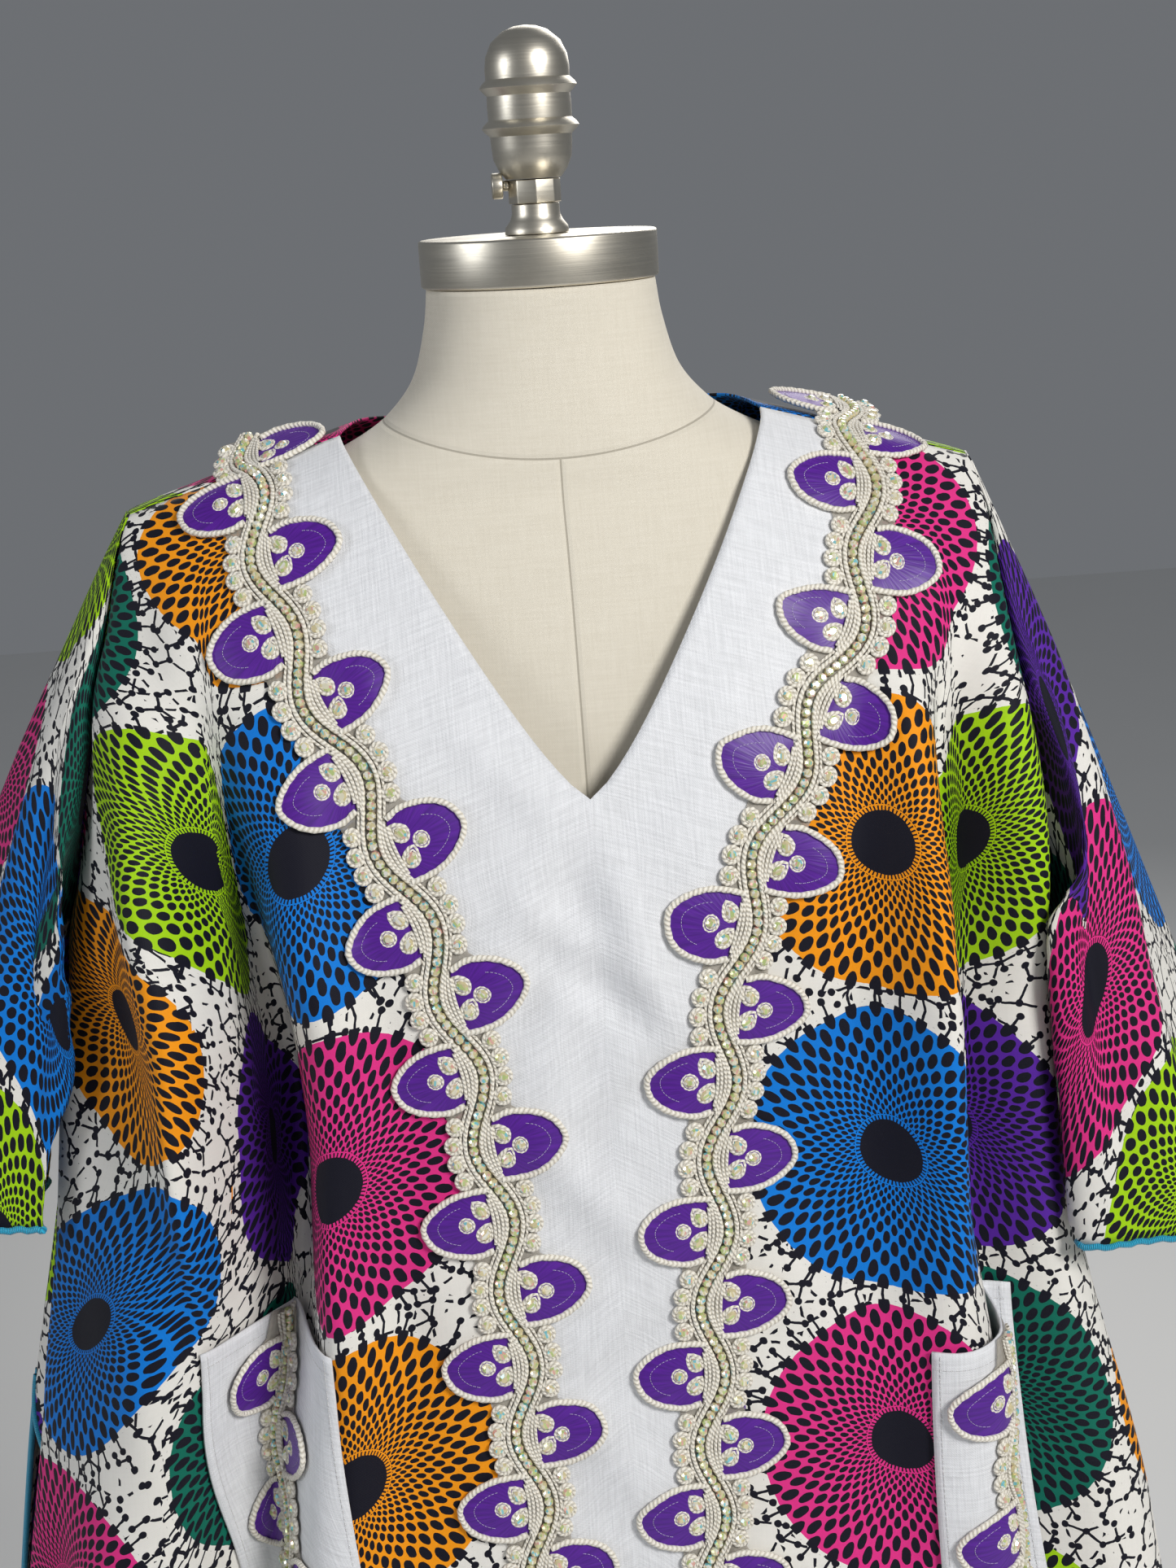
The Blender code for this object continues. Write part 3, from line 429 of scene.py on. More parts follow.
# Wax print: two sets of discs on a staggered grid, in metres of cloth
DISC_COLUMN = 0.1450
DISC_PITCH = 0.1480
DISC_STAGGER = 0.015
DISC_RADIUS = 0.0690
DISC_CENTRE = 0.0150
DISC_RINGS = 14
DISC_SPOKES = 38
LEAST_RADIUS = 0.0005
DOT_LENGTH = 0.35
DOT_WIDTH = 0.235
DOTS_TO = 1.035
DOTS_FROM = 1.17
TOOTH_LENGTH = 0.0020
TOOTH_SHARE = 0.22
STEM_HALF = 0.055
STEM_LENGTH = 0.0095

# Net of lines between the discs, and the rough edge of all the print
NET_CELL = 0.0102
NET_LINE = 0.0007
NET_DOT = 0.0019
NET_JOINED = 0.72
NET_JITTER = 0.85
NET_SNAP = (0.0011, 0.0011, 0.0011)
PRINT_WOBBLE = 0.0009
WOBBLE_SCALE = 260.0

# Where each panel's print starts
PRINT_SHIFT = {"front_left": (0.130, 0.026), "front_right": (-0.130, 0.306), "back": (0.145, 0.190)}

# Sleeves are cut across the cloth: where the print starts, and which way it runs
SleevePrint = namedtuple("SleevePrint", "start_u start_v way")
SLEEVE_PRINTS = {
    "sleeve_left": SleevePrint(-0.130, 0.174, -1),
    "sleeve_right": SleevePrint(-0.500, 0.122, 1),
}

# Print that the deep folds beside the arms take up: where each fold runs at three heights, and how much
Tuck = namedtuple("Tuck", "low_x middle_x top_x across")
TUCK_HEIGHTS = (0.30, 0.86, 1.30)
TUCKS = {-1: Tuck(-0.164, -0.144, -0.164, -0.074), 1: Tuck(0.200, 0.178, 0.170, 0.040)}
TUCK_HALF = 0.004
TUCK_TOP = 1.40
TUCK_FADE = 0.13

# Left front's outer columns of discs, and how far their print is lifted
OUTER_COLUMN = -1.5 * DISC_COLUMN
OUTER_LIFT = 0.098

# Columns of each panel's mesh
FRONT_COLUMNS = 73
BACK_COLUMNS = 131
WHITE_COLUMNS = 19

# Studio
Light = namedtuple("Light", "name place size power colour")
LIGHTS = (
    Light("key_light", (1.5, -2.3, 2.7), 1.0, 76.0, (1.0, 0.985, 0.96)),
    Light("side_light", (-2.6, -1.0, 2.2), 1.2, 21.0, (0.95, 0.97, 1.0)),
    Light("back_light", (0.8, 2.4, 2.6), 2.0, 34.0, (1.0, 0.98, 0.95)),
)
LIGHTS_AIM = (0.0, 0.0, 1.1)
SKY_COLOUR = (0.80, 0.84, 0.90, 1.0)
SKY_STRENGTH = 0.19
FLOOR_SIZE = 14.0

RANDOM = np.random.default_rng(7)


# Shape of the dress, worked out for whole arrays of places and rows

def mix(a, b, share):
    return a + (b - a) * share


def smooth(share):
    share = np.clip(share, 0.0, 1.0)
    return share * share * (3.0 - 2.0 * share)


def powered(values, power):
    """Values raised to a power, with their signs kept."""
    return np.copysign(np.abs(values) ** power, values)


def path_lengths(path):
    """Length along a path at each of its points."""
    return np.concatenate(([0.0], np.cumsum(np.linalg.norm(np.diff(path, axis=0), axis=1))))


def curve_through(values, place):
    """Values at places along evenly numbered values, on a smooth curve."""
    values = np.asarray(values, float)
    last = len(values) - 1
    i = np.minimum(np.asarray(place, float).astype(int), last - 1)
    f = place - i
    p1, p2 = values[i], values[i + 1]
    p0 = np.where(i > 0, values[np.maximum(i - 1, 0)], 2 * p1 - p2)
    p3 = np.where(i + 2 <= last, values[np.minimum(i + 2, last)], 2 * p2 - p1)
    m1, m2 = (p2 - p0) / 2, (p3 - p1) / 2
    return ((2 * f**3 - 3 * f**2 + 1) * p1 + (f**3 - 2 * f**2 + f) * m1
            + (3 * f**2 - 2 * f**3) * p2 + (f**3 - f**2) * m2)


COLUMN_VALUES = dict(zip(Section._fields, zip(*SECTIONS)))


def section(name, row):
    return np.maximum(curve_through(COLUMN_VALUES[name], np.clip(row, 0.0, LAST_ROW)), 0.0)


def angle_table():
    """Angles round a quarter section, and their shares of its length from the centre to the side."""
    width, depth = QUARTER_SIZE
    angles = np.pi / 2 * np.arange(QUARTER_STEPS + 1) / QUARTER_STEPS
    ys = depth * np.maximum(np.cos(angles), 0.0) ** SQUARENESS
    ys[-1] = 0.0
    lengths = path_lengths(np.stack((width * np.sin(angles), ys), axis=-1))
    return angles, lengths / lengths[-1]


ANGLES, SHARES = angle_table()


def place_at_x(x, row):
    x = np.asarray(x, float)
    width = np.where(x < 0, section("left", row), section("right", row))
    return np.copysign(np.interp(np.arcsin(np.minimum(np.abs(x) / width, 1.0)), ANGLES, SHARES), x)


def fold_push(panel, place, z):
    """How far the folds push points out and sideways."""
    out, along = np.zeros_like(z), np.zeros_like(z)
    for fold in FOLDS[panel]:
        upper = np.clip((fold.start_z - z) / (fold.start_z - fold.full_z), 0.0, 1.0)
        lower = np.clip((fold.full_z - z) / (fold.full_z - SECTIONS[-1].z), 0.0, None)
        above = z > fold.full_z
        middle = np.where(above, mix(fold.start_place, fold.full_place, upper),
                          mix(fold.full_place, fold.hem_place, smooth(lower)))
        below = mix(fold.full_depth, fold.hem_depth, lower)
        depth = np.where(above, fold.full_depth * smooth(upper), below)
        away = np.minimum(np.abs(place - middle) / fold.width, 1.0)
        bump = (1.0 + np.cos(np.pi * away)) / 2.0
        out += depth * bump
        along += fold.lean * bump * smooth(depth / FOLD_LEAN_DEPTH)
    return out, along


def crease_push(panel, x, z):
    """How far the creases push points out."""
    out = np.zeros_like(z)
    for crease in CREASES[panel]:
        dx, dz = crease.x2 - crease.x1, crease.z2 - crease.z1
        share = ((x - crease.x1) * dx + (z - crease.z1) * dz) / (dx * dx + dz * dz)
        bend = CREASE_BEND * (share - 0.5) ** 2 * crease.width
        away = ((x - crease.x1) * dz - (z - crease.z1) * dx) / math.hypot(dx, dz) / crease.width + bend
        fade = smooth((share + 0.15) / 0.45) * smooth((1.15 - share) / 0.55)
        bank = CREASE_BANK * np.exp(-(away - CREASE_BANK_AT) ** 2)
        out += crease.depth * (np.exp(-away**2) - bank) * fade
    return out


def base_point(panel, place, row):
    """Dress surface before its folds."""
    width = np.where(place < 0, section("left", row), section("right", row))
    depth, arm = section(panel, row), section("arm", row)
    angle = np.copysign(np.interp(np.abs(place), SHARES, ANGLES), place)
    x = width * np.sin(angle)
    y = arm + (depth - arm) * np.maximum(np.cos(angle), 0.0) ** SQUARENESS
    drop = SHOULDER_SLOPE * (np.sqrt(x * x + SHOULDER_ROUND) - NECK_HALF)
    z = section("z", row) - section("slope", row) * drop
    forward = SHOULDER_FORWARD * (1.0 - smooth(row / SHOULDER_ROWS))
    if panel == "front":
        return np.stack((x, -y - forward, z), axis=-1)
    roll = SHOULDER_ROLL * np.sin(np.pi * np.minimum(row / SHOULDER_ROWS, 1.0))
    return np.stack((x, y - forward, z + roll), axis=-1)


def unit(vectors):
    return vectors / np.maximum(np.linalg.norm(vectors, axis=-1, keepdims=True), 1e-12)


def surface(panel, place, row):
    """Outer surface of the dress with its folds and creases."""
    place, row = np.broadcast_arrays(np.asarray(place, float), np.asarray(row, float))
    here = base_point(panel, place, row)
    out, along = fold_push(panel, place, here[..., 2])
    out = out + crease_push(panel, here[..., 0], here[..., 2])
    after = base_point(panel, np.minimum(place + SURFACE_STEP, 1.0), row)
    across = after - base_point(panel, np.maximum(place - SURFACE_STEP, -1.0), row)
    across[..., 2] = 0.0
    across = unit(across)
    turn = 1.0 if panel == "front" else -1.0
    outward = np.stack((across[..., 1] * turn, -across[..., 0] * turn, np.zeros_like(place)), axis=-1)
    edge = smooth((1.0 - np.abs(place)) / SIDE_FADE)
    return here + (outward * out[..., None] + across * along[..., None]) * edge[..., None]


def slopes(panel, place, row):
    """How the surface runs across and down at places on it, and its normal."""
    low, high = np.maximum(place - SLOPE_PLACE_STEP, -1.0), np.minimum(place + SLOPE_PLACE_STEP, 1.0)
    up, down = np.maximum(row - SLOPE_ROW_STEP, 0.0), np.minimum(row + SLOPE_ROW_STEP, LAST_ROW)
    across = (surface(panel, high, row) - surface(panel, low, row)) / (high - low)[..., None]
    along = (surface(panel, place, down) - surface(panel, place, up)) / (down - up)[..., None]
    normal = np.cross(along, across) if panel == "front" else np.cross(across, along)
    return across, along, unit(normal)


def seam_x(side, row):
    rows = [seam.row for seam in FRONT_SEAM]
    xs = [seam.left if side < 0 else seam.right for seam in FRONT_SEAM]
    return curve_through(xs, np.interp(row, rows, range(len(rows))))


def v_half(row):
    drop = (NECK_HEIGHT - section("z", row)) / (NECK_HEIGHT - section("z", V_BOTTOM_ROW))
    return NECK_HALF * np.maximum(1.0 - drop, 0.0) ** V_CURVE * (row < V_BOTTOM_ROW)


def side_limit(panel, side, row):
    """Place of a panel's side edge: the armhole, the side seam or the slit."""
    limit = np.ones_like(row) - SEAM_GAP * 1.5
    if (panel, side) in (("front", -1), ("back", 1)):
        limit = limit - SLIT_SHARE * smooth((SLIT_TOP - section("z", row)) / (SLIT_TOP - SLIT_FULL))
    return side * limit


def even_rows(start, end):
    """Rows from start to end at even lengths down the front."""
    fine = np.linspace(start, end, FINE_ROWS)
    lengths = path_lengths(base_point("front", np.full_like(fine, 0.5), fine))
    count = int(lengths[-1] / GRID_STEP) + 1
    return np.interp(np.linspace(0.0, lengths[-1], count), lengths, fine)


ROWS = np.concatenate((even_rows(FIRST_ROW, V_BOTTOM_ROW), even_rows(V_BOTTOM_ROW, LAST_ROW)[1:]))


def lengths_along(points, axis):
    """Length along a grid of points from its first row or column."""
    steps = np.linalg.norm(np.diff(points, axis=axis), axis=2)
    pad = np.zeros_like(np.take(steps, [0], axis=axis))
    return np.concatenate((pad, np.cumsum(steps, axis=axis)), axis=axis)


# Meshes from grids, and heaps of small shapes

def new_object(name, points, faces, uvs, finish, is_smooth=True):
    mesh = bpy.data.meshes.new(name)
    mesh.from_pydata(points, [], faces)
    if uvs is not None:
        layer = mesh.uv_layers.new(name="UVMap")
        layer.data.foreach_set("uv", np.asarray(uvs, np.float32).ravel())
    mesh.polygons.foreach_set("use_smooth", [is_smooth] * len(mesh.polygons))
    mesh.materials.append(finish)
    made = bpy.data.objects.new(name, mesh)
    bpy.context.collection.objects.link(made)
    return made


def corners(numbers, flip=False):
    order = (numbers[:-1, :-1], numbers[1:, :-1], numbers[1:, 1:], numbers[:-1, 1:])
    return np.stack(order[::-1] if flip else order, axis=-1).reshape(-1, 4)


def cloth_sheet(name, points, uv, finish, ring=False, flip=False, thickness=CLOTH, lift=None):
    """Sheet of cloth from points on its outer side. Its UV is in metres, and may be lifted face by face."""
    rows, columns = points.shape[:2]
    numbers = np.arange(rows * columns).reshape(rows, columns)
    if ring:
        numbers = np.hstack((numbers, numbers[:, :1]))
    uv_numbers = np.arange(uv.shape[0] * uv.shape[1]).reshape(uv.shape[:2])
    loops = corners(uv_numbers, flip).ravel()
    loop_uv = uv.reshape(-1, 2)[loops]
    if lift is not None:
        loop_uv[:, 1] += np.repeat(lift.ravel(), 4)
    faces = corners(numbers, flip).tolist()
    made = new_object(name, points.reshape(-1, 3).tolist(), faces, loop_uv, finish)
    wall = made.modifiers.new("wall", "SOLIDIFY")
    wall.thickness = thickness
    wall.offset = -1.0
    return made


class Heap:
    """Many small shapes gathered into one mesh."""

    def __init__(self):
        self.points, self.faces, self.uvs, self.count = [], [], [], 0

    def add(self, points, faces, uvs):
        self.points.extend(points.tolist())
        self.faces.extend((np.asarray(faces) + self.count).tolist())
        self.uvs.extend(np.asarray(uvs).reshape(-1, 2).tolist())
        self.count += len(points)

    def made(self, name, finish, is_smooth=True):
        return new_object(name, self.points, self.faces, self.uvs, finish, is_smooth)


def tube(heap, path, normals, radius, sides=6, ring=False):
    """Cord along a path, its section turned by the normals. UV runs along it and round it."""
    if ring:
        along = np.roll(path, -1, axis=0) - np.roll(path, 1, axis=0)
    else:
        along = np.gradient(path, axis=0)
    along = unit(along)
    side = unit(np.cross(along, normals))
    up = np.cross(side, along)
    angles = 2 * np.pi * (np.arange(sides) + 0.5) / sides
    radius = np.broadcast_to(radius, len(path))[:, None, None]
    points = path[:, None] + radius * (side[:, None] * np.cos(angles)[:, None]
                                       + up[:, None] * np.sin(angles)[:, None])
    numbers = np.arange(len(path) * sides).reshape(len(path), sides)
    numbers = np.hstack((numbers, numbers[:, :1]))
    if ring:
        numbers = np.vstack((numbers, numbers[:1]))
        path = np.vstack((path, path[:1]))
    lengths = path_lengths(path)
    grid = np.stack(np.broadcast_arrays(lengths[:, None], np.arange(sides + 1)[None] / sides), axis=-1)
    uv_numbers = np.arange(grid.shape[0] * grid.shape[1]).reshape(grid.shape[:2])
    loop_uv = grid.reshape(-1, 2)[corners(uv_numbers, True).ravel()]
    heap.add(points.reshape(-1, 3), corners(numbers, True), loop_uv)


# Materials

def node(tree, kind, inputs=None, **settings):
    made = tree.nodes.new("ShaderNode" + kind)
    for key, value in settings.items():
        setattr(made, key, value)
    for key, value in (inputs or {}).items():
        if isinstance(value, bpy.types.NodeSocket):
            tree.links.new(value, made.inputs[key])
        else:
            made.inputs[key].default_value = value
    return made


def maths(tree, operation, *values):
    return node(tree, "Math", dict(enumerate(values)), operation=operation).outputs[0]


def uv_split(tree):
    return node(tree, "SeparateXYZ", {0: node(tree, "UVMap").outputs[0]}).outputs


def ridged(tree, turn):
    """Wave that rises and falls once in each turn."""
    return maths(tree, "ABSOLUTE", maths(tree, "SINE", maths(tree, "MULTIPLY", turn, math.pi)))


def stretched(tree, vector, stretch):
    return node(tree, "VectorMath", {0: vector, 1: stretch}, operation="MULTIPLY").outputs[0]


def noise(tree, vector, scale, detail, output=0, **settings):
    inputs = {"Vector": vector, "Scale": scale, "Detail": detail}
    return node(tree, "TexNoise", inputs, **settings).outputs[output]


def blend_colour(tree, share, first, second):
    made = node(tree, "Mix", {"Factor": share}, data_type="RGBA")
    for key, value in ((6, first), (7, second)):
        if isinstance(value, bpy.types.NodeSocket):
            tree.links.new(value, made.inputs[key])
        else:
            made.inputs[key].default_value = (*value, 1.0)
    return made.outputs[2]


def new_group(name, inputs, outputs):
    group = bpy.data.node_groups.new(name, "ShaderNodeTree")
    for socket, kind, value in inputs:
        made = group.interface.new_socket(socket, in_out="INPUT", socket_type="NodeSocket" + kind)
        if value is not None:
            made.default_value = value
    for socket, kind in outputs:
        group.interface.new_socket(socket, in_out="OUTPUT", socket_type="NodeSocket" + kind)
    return group, group.nodes.new("NodeGroupInput").outputs, group.nodes.new("NodeGroupOutput").inputs


def weave_group():
    """Plain weave: crossing threads, thick spots in some of them, and soft blotches."""
    group, given, out = new_group("plain_weave", (
        ("Vector", "Vector", None), ("Thread", "Float", 0.0005), ("Slub", "Float", 0.5),
    ), (("Height", "Float"), ("Shade", "Float")))
    split = node(group, "SeparateXYZ", {0: given["Vector"]}).outputs
    threads = []
    for axis in (0, 1):
        turns = maths(group, "DIVIDE", split[axis], given["Thread"])
        threads.append(maths(group, "SINE", maths(group, "MULTIPLY", turns, math.pi)))
    crossing = maths(group, "MULTIPLY", threads[0], threads[1])
    streaks = []
    for stretch in ((900.0, 55.0, 0.0), (50.0, 820.0, 0.0)):
        run = stretched(group, given["Vector"], stretch)
        streaks.append(noise(group, run, 1.0, 3.0, noise_dimensions="2D"))
    slub = maths(group, "SUBTRACT", maths(group, "ADD", streaks[0], streaks[1]), 1.0)
    slub = maths(group, "MULTIPLY", slub, given["Slub"])
    group.links.new(maths(group, "ADD", maths(group, "MULTIPLY", crossing, 0.25), slub), out["Height"])
    group.links.new(maths(group, "ADD", 0.5, slub), out["Shade"])
    return group


def new_material(name, roughness, metallic=0.0, **constants):
    made = bpy.data.materials.new(name)
    made.use_nodes = True
    tree = made.node_tree
    shader = tree.nodes["Principled BSDF"]
    shader.inputs["Roughness"].default_value = roughness
    shader.inputs["Metallic"].default_value = metallic
    for key, value in constants.items():
        shader.inputs[key.replace("_", " ").title()].default_value = value
    return made, tree, shader.inputs


def bumped(tree, inputs, height, strength, distance):
    bump = node(tree, "Bump", {"Height": height, "Strength": strength, "Distance": distance})
    tree.links.new(bump.outputs[0], inputs["Normal"])


def woven(tree, weave, thread, slub, vector=None):
    vector = vector or node(tree, "UVMap").outputs[0]
    made = node(tree, "Group", node_tree=weave)
    tree.links.new(vector, made.inputs["Vector"])
    made.inputs["Thread"].default_value = thread
    made.inputs["Slub"].default_value = slub
    return made.outputs["Height"], made.outputs["Shade"]


def cloth_material(name, colour, weave, thread, slub, shade_depth, roughness, **constants):
    made, tree, inputs = new_material(name, roughness, **constants)
    height, shade = woven(tree, weave, thread, slub)
    dark = tuple(c * (1.0 - shade_depth) for c in colour)
    light = tuple(min(c * (1.0 + shade_depth * 0.5), 1.0) for c in colour)
    tree.links.new(blend_colour(tree, shade, dark, light), inputs["Base Color"])
    bumped(tree, inputs, height, 0.5, 0.0004)
    return made


INK = (0.004, 0.004, 0.012)
GROUND = (0.84, 0.82, 0.77)
DISC_COLOURS = {
    "long": ((0.95, 0.33, 0.004), (0.000, 0.20, 0.72), (0.78, 0.030, 0.25)),
    "short": ((0.38, 0.68, 0.004), (0.100, 0.016, 0.36), (0.000, 0.150, 0.100)),
}


def disc_group():
    """One column of printed discs: dots on staggered rings round a dark centre, and stems past the edge."""
    group, given, out = new_group("printed_disc", (
        ("U", "Float", 0.0), ("V", "Float", 0.0), ("Shift", "Float", 0.0), ("First", "Color", None),
        ("Second", "Color", None), ("Third", "Color", None),
    ), (("Disc", "Float"), ("Ink", "Float"), ("Colour", "Color")))

    def m(operation, *values):
        return maths(group, operation, *values)

    shifted = m("ADD", given["U"], given["Shift"])
    across = m("SUBTRACT", m("FLOORED_MODULO", shifted, 2 * DISC_COLUMN), DISC_COLUMN)
    column = m("ROUND", m("DIVIDE", m("SUBTRACT", given["U"], across), DISC_COLUMN), 0.0)
    column = m("SUBTRACT", column, m("GREATER_THAN", column, 0.5))
    turn = m("DIVIDE", given["V"], DISC_PITCH)
    row = m("FLOOR", turn)
    down = m("MULTIPLY", m("SUBTRACT", m("SUBTRACT", turn, row), 0.5), DISC_PITCH)
    square = m("ADD", m("MULTIPLY", across, across), m("MULTIPLY", down, down))
    radius = m("MAXIMUM", m("SQRT", square), LEAST_RADIUS)
    spoke = m("MULTIPLY", m("ARCTAN2", down, across), DISC_SPOKES / (2 * math.pi))
    rings = DISC_RINGS / math.log(DISC_RADIUS / DISC_CENTRE)
    ring = m("MULTIPLY", m("LOGARITHM", m("DIVIDE", radius, DISC_CENTRE), math.e), rings / 2)
    dots = []
    for shift in (0.0, 0.5):
        out_way = m("SUBTRACT", m("FRACT", m("ADD", ring, shift + 20.0)), 0.5)
        round_way = m("SUBTRACT", m("FRACT", m("ADD", spoke, shift + 100.0)), 0.5)
        out_way, round_way = m("DIVIDE", out_way, DOT_LENGTH), m("DIVIDE", round_way, DOT_WIDTH)
        dots.append(m("ADD", m("MULTIPLY", out_way, out_way), m("MULTIPLY", round_way, round_way)))
    dot = m("LESS_THAN", m("MINIMUM", *dots), 1.0)
    dot = m("MULTIPLY", dot, m("LESS_THAN", radius, DISC_RADIUS * DOTS_TO))
    dot = m("MULTIPLY", dot, m("GREATER_THAN", radius, DISC_CENTRE * DOTS_FROM))
    comb = m("ABSOLUTE", m("SUBTRACT", m("FRACT", m("ADD", m("MULTIPLY", spoke, 1.5), 100.0)), 0.5))
    tooth = m("ADD", DISC_CENTRE, m("MULTIPLY", m("LESS_THAN", comb, TOOTH_SHARE), TOOTH_LENGTH))
    centre = m("LESS_THAN", radius, tooth)
    aside = m("SUBTRACT", m("FRACT", m("ADD", spoke, 100.5)), 0.5)
    stem = m("LESS_THAN", m("ABSOLUTE", aside), STEM_HALF)
    stem = m("MULTIPLY", stem, m("GREATER_THAN", radius, DISC_RADIUS * 0.99))
    stem = m("MULTIPLY", stem, m("LESS_THAN", radius, DISC_RADIUS + STEM_LENGTH))
    round_way = m("MULTIPLY", m("MULTIPLY", aside, 2 * math.pi / DISC_SPOKES), radius)
    outward = m("SUBTRACT", radius, DISC_RADIUS + STEM_LENGTH)
    knob = m("ADD", m("MULTIPLY", round_way, round_way), m("MULTIPLY", outward, outward))
    knob = m("LESS_THAN", knob, NET_DOT * NET_DOT)
    ink = m("MAXIMUM", m("MAXIMUM", dot, centre), m("MAXIMUM", stem, knob))
    third = m("FLOORED_MODULO", m("ADD", row, column), 3.0)
    colour = blend_colour(group, m("COMPARE", third, 1.0, 0.1), given["First"], given["Second"])
    colour = blend_colour(group, m("COMPARE", third, 2.0, 0.1), colour, given["Third"])
    group.links.new(m("LESS_THAN", radius, DISC_RADIUS), out["Disc"])
    group.links.new(ink, out["Ink"])
    group.links.new(colour, out["Colour"])
    return group


def net_ink(tree, vector):
    """Branching lines with a dot at each joint: some neighbouring spots are joined, most aren't."""
    spots = []
    for feature in ("F1", "F2"):
        inputs = {"Vector": vector, "Scale": 1.0 / NET_CELL, "Randomness": NET_JITTER}
        cells = node(tree, "TexVoronoi", inputs, voronoi_dimensions="2D", feature=feature)
        spots.append(cells.outputs["Position"])

    def v(operation, a, b):
        return node(tree, "VectorMath", {0: a, 1: b}, operation=operation)

    spans = v("SUBTRACT", spots[1], spots[0]).outputs[0]
    here = v("SUBTRACT", vector, spots[0]).outputs[0]
    share = maths(tree, "DIVIDE", v("DOT_PRODUCT", here, spans).outputs["Value"],
                  v("DOT_PRODUCT", spans, spans).outputs["Value"])
    share = node(tree, "Clamp", {0: share}).outputs[0]
    foot = node(tree, "VectorMath", {0: spans, "Scale": share}, operation="SCALE").outputs[0]
    away = v("DISTANCE", here, foot).outputs["Value"]
    line = maths(tree, "LESS_THAN", away, NET_LINE)
    pair = v("SNAP", v("ADD", spots[0], spots[1]).outputs[0], NET_SNAP).outputs[0]
    chance = node(tree, "TexWhiteNoise", {"Vector": pair}, noise_dimensions="3D").outputs["Value"]
    line = maths(tree, "MULTIPLY", line, maths(tree, "LESS_THAN", chance, NET_JOINED))
    dot = maths(tree, "LESS_THAN", v("DISTANCE", vector, spots[0]).outputs["Value"], NET_DOT)
    return maths(tree, "MAXIMUM", line, dot)


def wax_print(weave):
    made, tree, inputs = new_material("wax_print_cotton", 0.66, sheen_weight=0.05, sheen_roughness=0.4)
    inputs["Specular IOR Level"].default_value = 0.22
    uv = node(tree, "UVMap").outputs[0]
    wobble = noise(tree, uv, WOBBLE_SCALE, 1.0, 1)
    wobble = node(tree, "VectorMath", {0: wobble, 1: (0.5, 0.5, 0.5)}, operation="SUBTRACT").outputs[0]
    wobble = node(tree, "VectorMath", {0: wobble, "Scale": PRINT_WOBBLE}, operation="SCALE").outputs[0]
    place = node(tree, "VectorMath", {0: uv, 1: wobble}, operation="ADD").outputs[0]
    split = node(tree, "SeparateXYZ", {0: place}).outputs
    discs = []
    group = disc_group()
    for shift_u, shift_v, colours in ((DISC_COLUMN, 0.0, "long"), (0.0, DISC_STAGGER, "short")):
        disc = node(tree, "Group", node_tree=group)
        tree.links.new(split[0], disc.inputs["U"])
        disc.inputs["Shift"].default_value = shift_u
        tree.links.new(maths(tree, "ADD", split[1], shift_v), disc.inputs["V"])
        for key, colour in zip(("First", "Second", "Third"), DISC_COLOURS[colours]):
            disc.inputs[key].default_value = (*colour, 1.0)
        discs.append(disc.outputs)
    colour = blend_colour(tree, net_ink(tree, place), GROUND, INK)
    for disc in discs:
        colour = blend_colour(tree, disc["Disc"], colour, disc["Colour"])
    for disc in discs:
        other = discs[1] if disc is discs[0] else discs[0]
        ink = maths(tree, "MULTIPLY", disc["Ink"], maths(tree, "SUBTRACT", 1.0, other["Disc"]))
        colour = blend_colour(tree, ink, colour, INK)
    height, shade = woven(tree, weave, 0.00045, 0.35)
    fade = noise(tree, uv, 14.0, 3.0)
    fade = maths(tree, "ADD", maths(tree, "MULTIPLY", fade, 0.12), maths(tree, "MULTIPLY", shade, 0.14))
    colour = blend_colour(tree, maths(tree, "SUBTRACT", 0.16, fade), colour, (0.02, 0.02, 0.02))
    tree.links.new(colour, inputs["Base Color"])
    bumped(tree, inputs, height, 0.35, 0.0003)
    return made


def cord_material():
    """Braided ivory cord: chevrons along each cord, from its UV along and round it, with painted shade in the
    grooves between its strands.
    """
    made, tree, inputs = new_material("ivory_cord_trim", 0.55, sheen_weight=0.35, sheen_roughness=0.35)
    split = uv_split(tree)
    bend = maths(tree, "ABSOLUTE", maths(tree, "SUBTRACT", split[1], 0.25))
    turn = maths(tree, "ADD", maths(tree, "DIVIDE", split[0], 0.0022), maths(tree, "MULTIPLY", bend, 2.2))
    wave = ridged(tree, turn)
    grey = noise(tree, node(tree, "TexCoord").outputs["Object"], 420.0, 2.0)
    # The darker colour is painted shade in the grooves between the strands; the noise adds random tone
    share = maths(tree, "ADD", maths(tree, "MULTIPLY", wave, 0.75), maths(tree, "MULTIPLY", grey, 0.35))
    tree.links.new(blend_colour(tree, share, (0.60, 0.54, 0.43), (0.95, 0.91, 0.82)), inputs["Base Color"])
    bumped(tree, inputs, wave, 0.7, 0.0006)
    return made


def petal_material():
    """Violet satin stitch, its threads fanned out from each petal's root by the UV, with painted sheen on the
    raised threads and painted shade between them.
    """
    made, tree, inputs = new_material("violet_satin", 0.44, sheen_weight=0.25, sheen_roughness=0.3)
    inputs["Sheen Tint"].default_value = (0.55, 0.35, 1.0, 1.0)
    uv = node(tree, "UVMap").outputs[0]
    thread = noise(tree, stretched(tree, uv, (900.0, 60.0, 0.0)), 1.0, 2.0)
    # Colour follows the threads' height: painted sheen on raised threads, painted shade between them
    colour = blend_colour(tree, thread, (0.028, 0.002, 0.12), (0.135, 0.012, 0.42))
    tree.links.new(colour, inputs["Base Color"])
    bumped(tree, inputs, thread, 0.5, 0.0004)
    return made


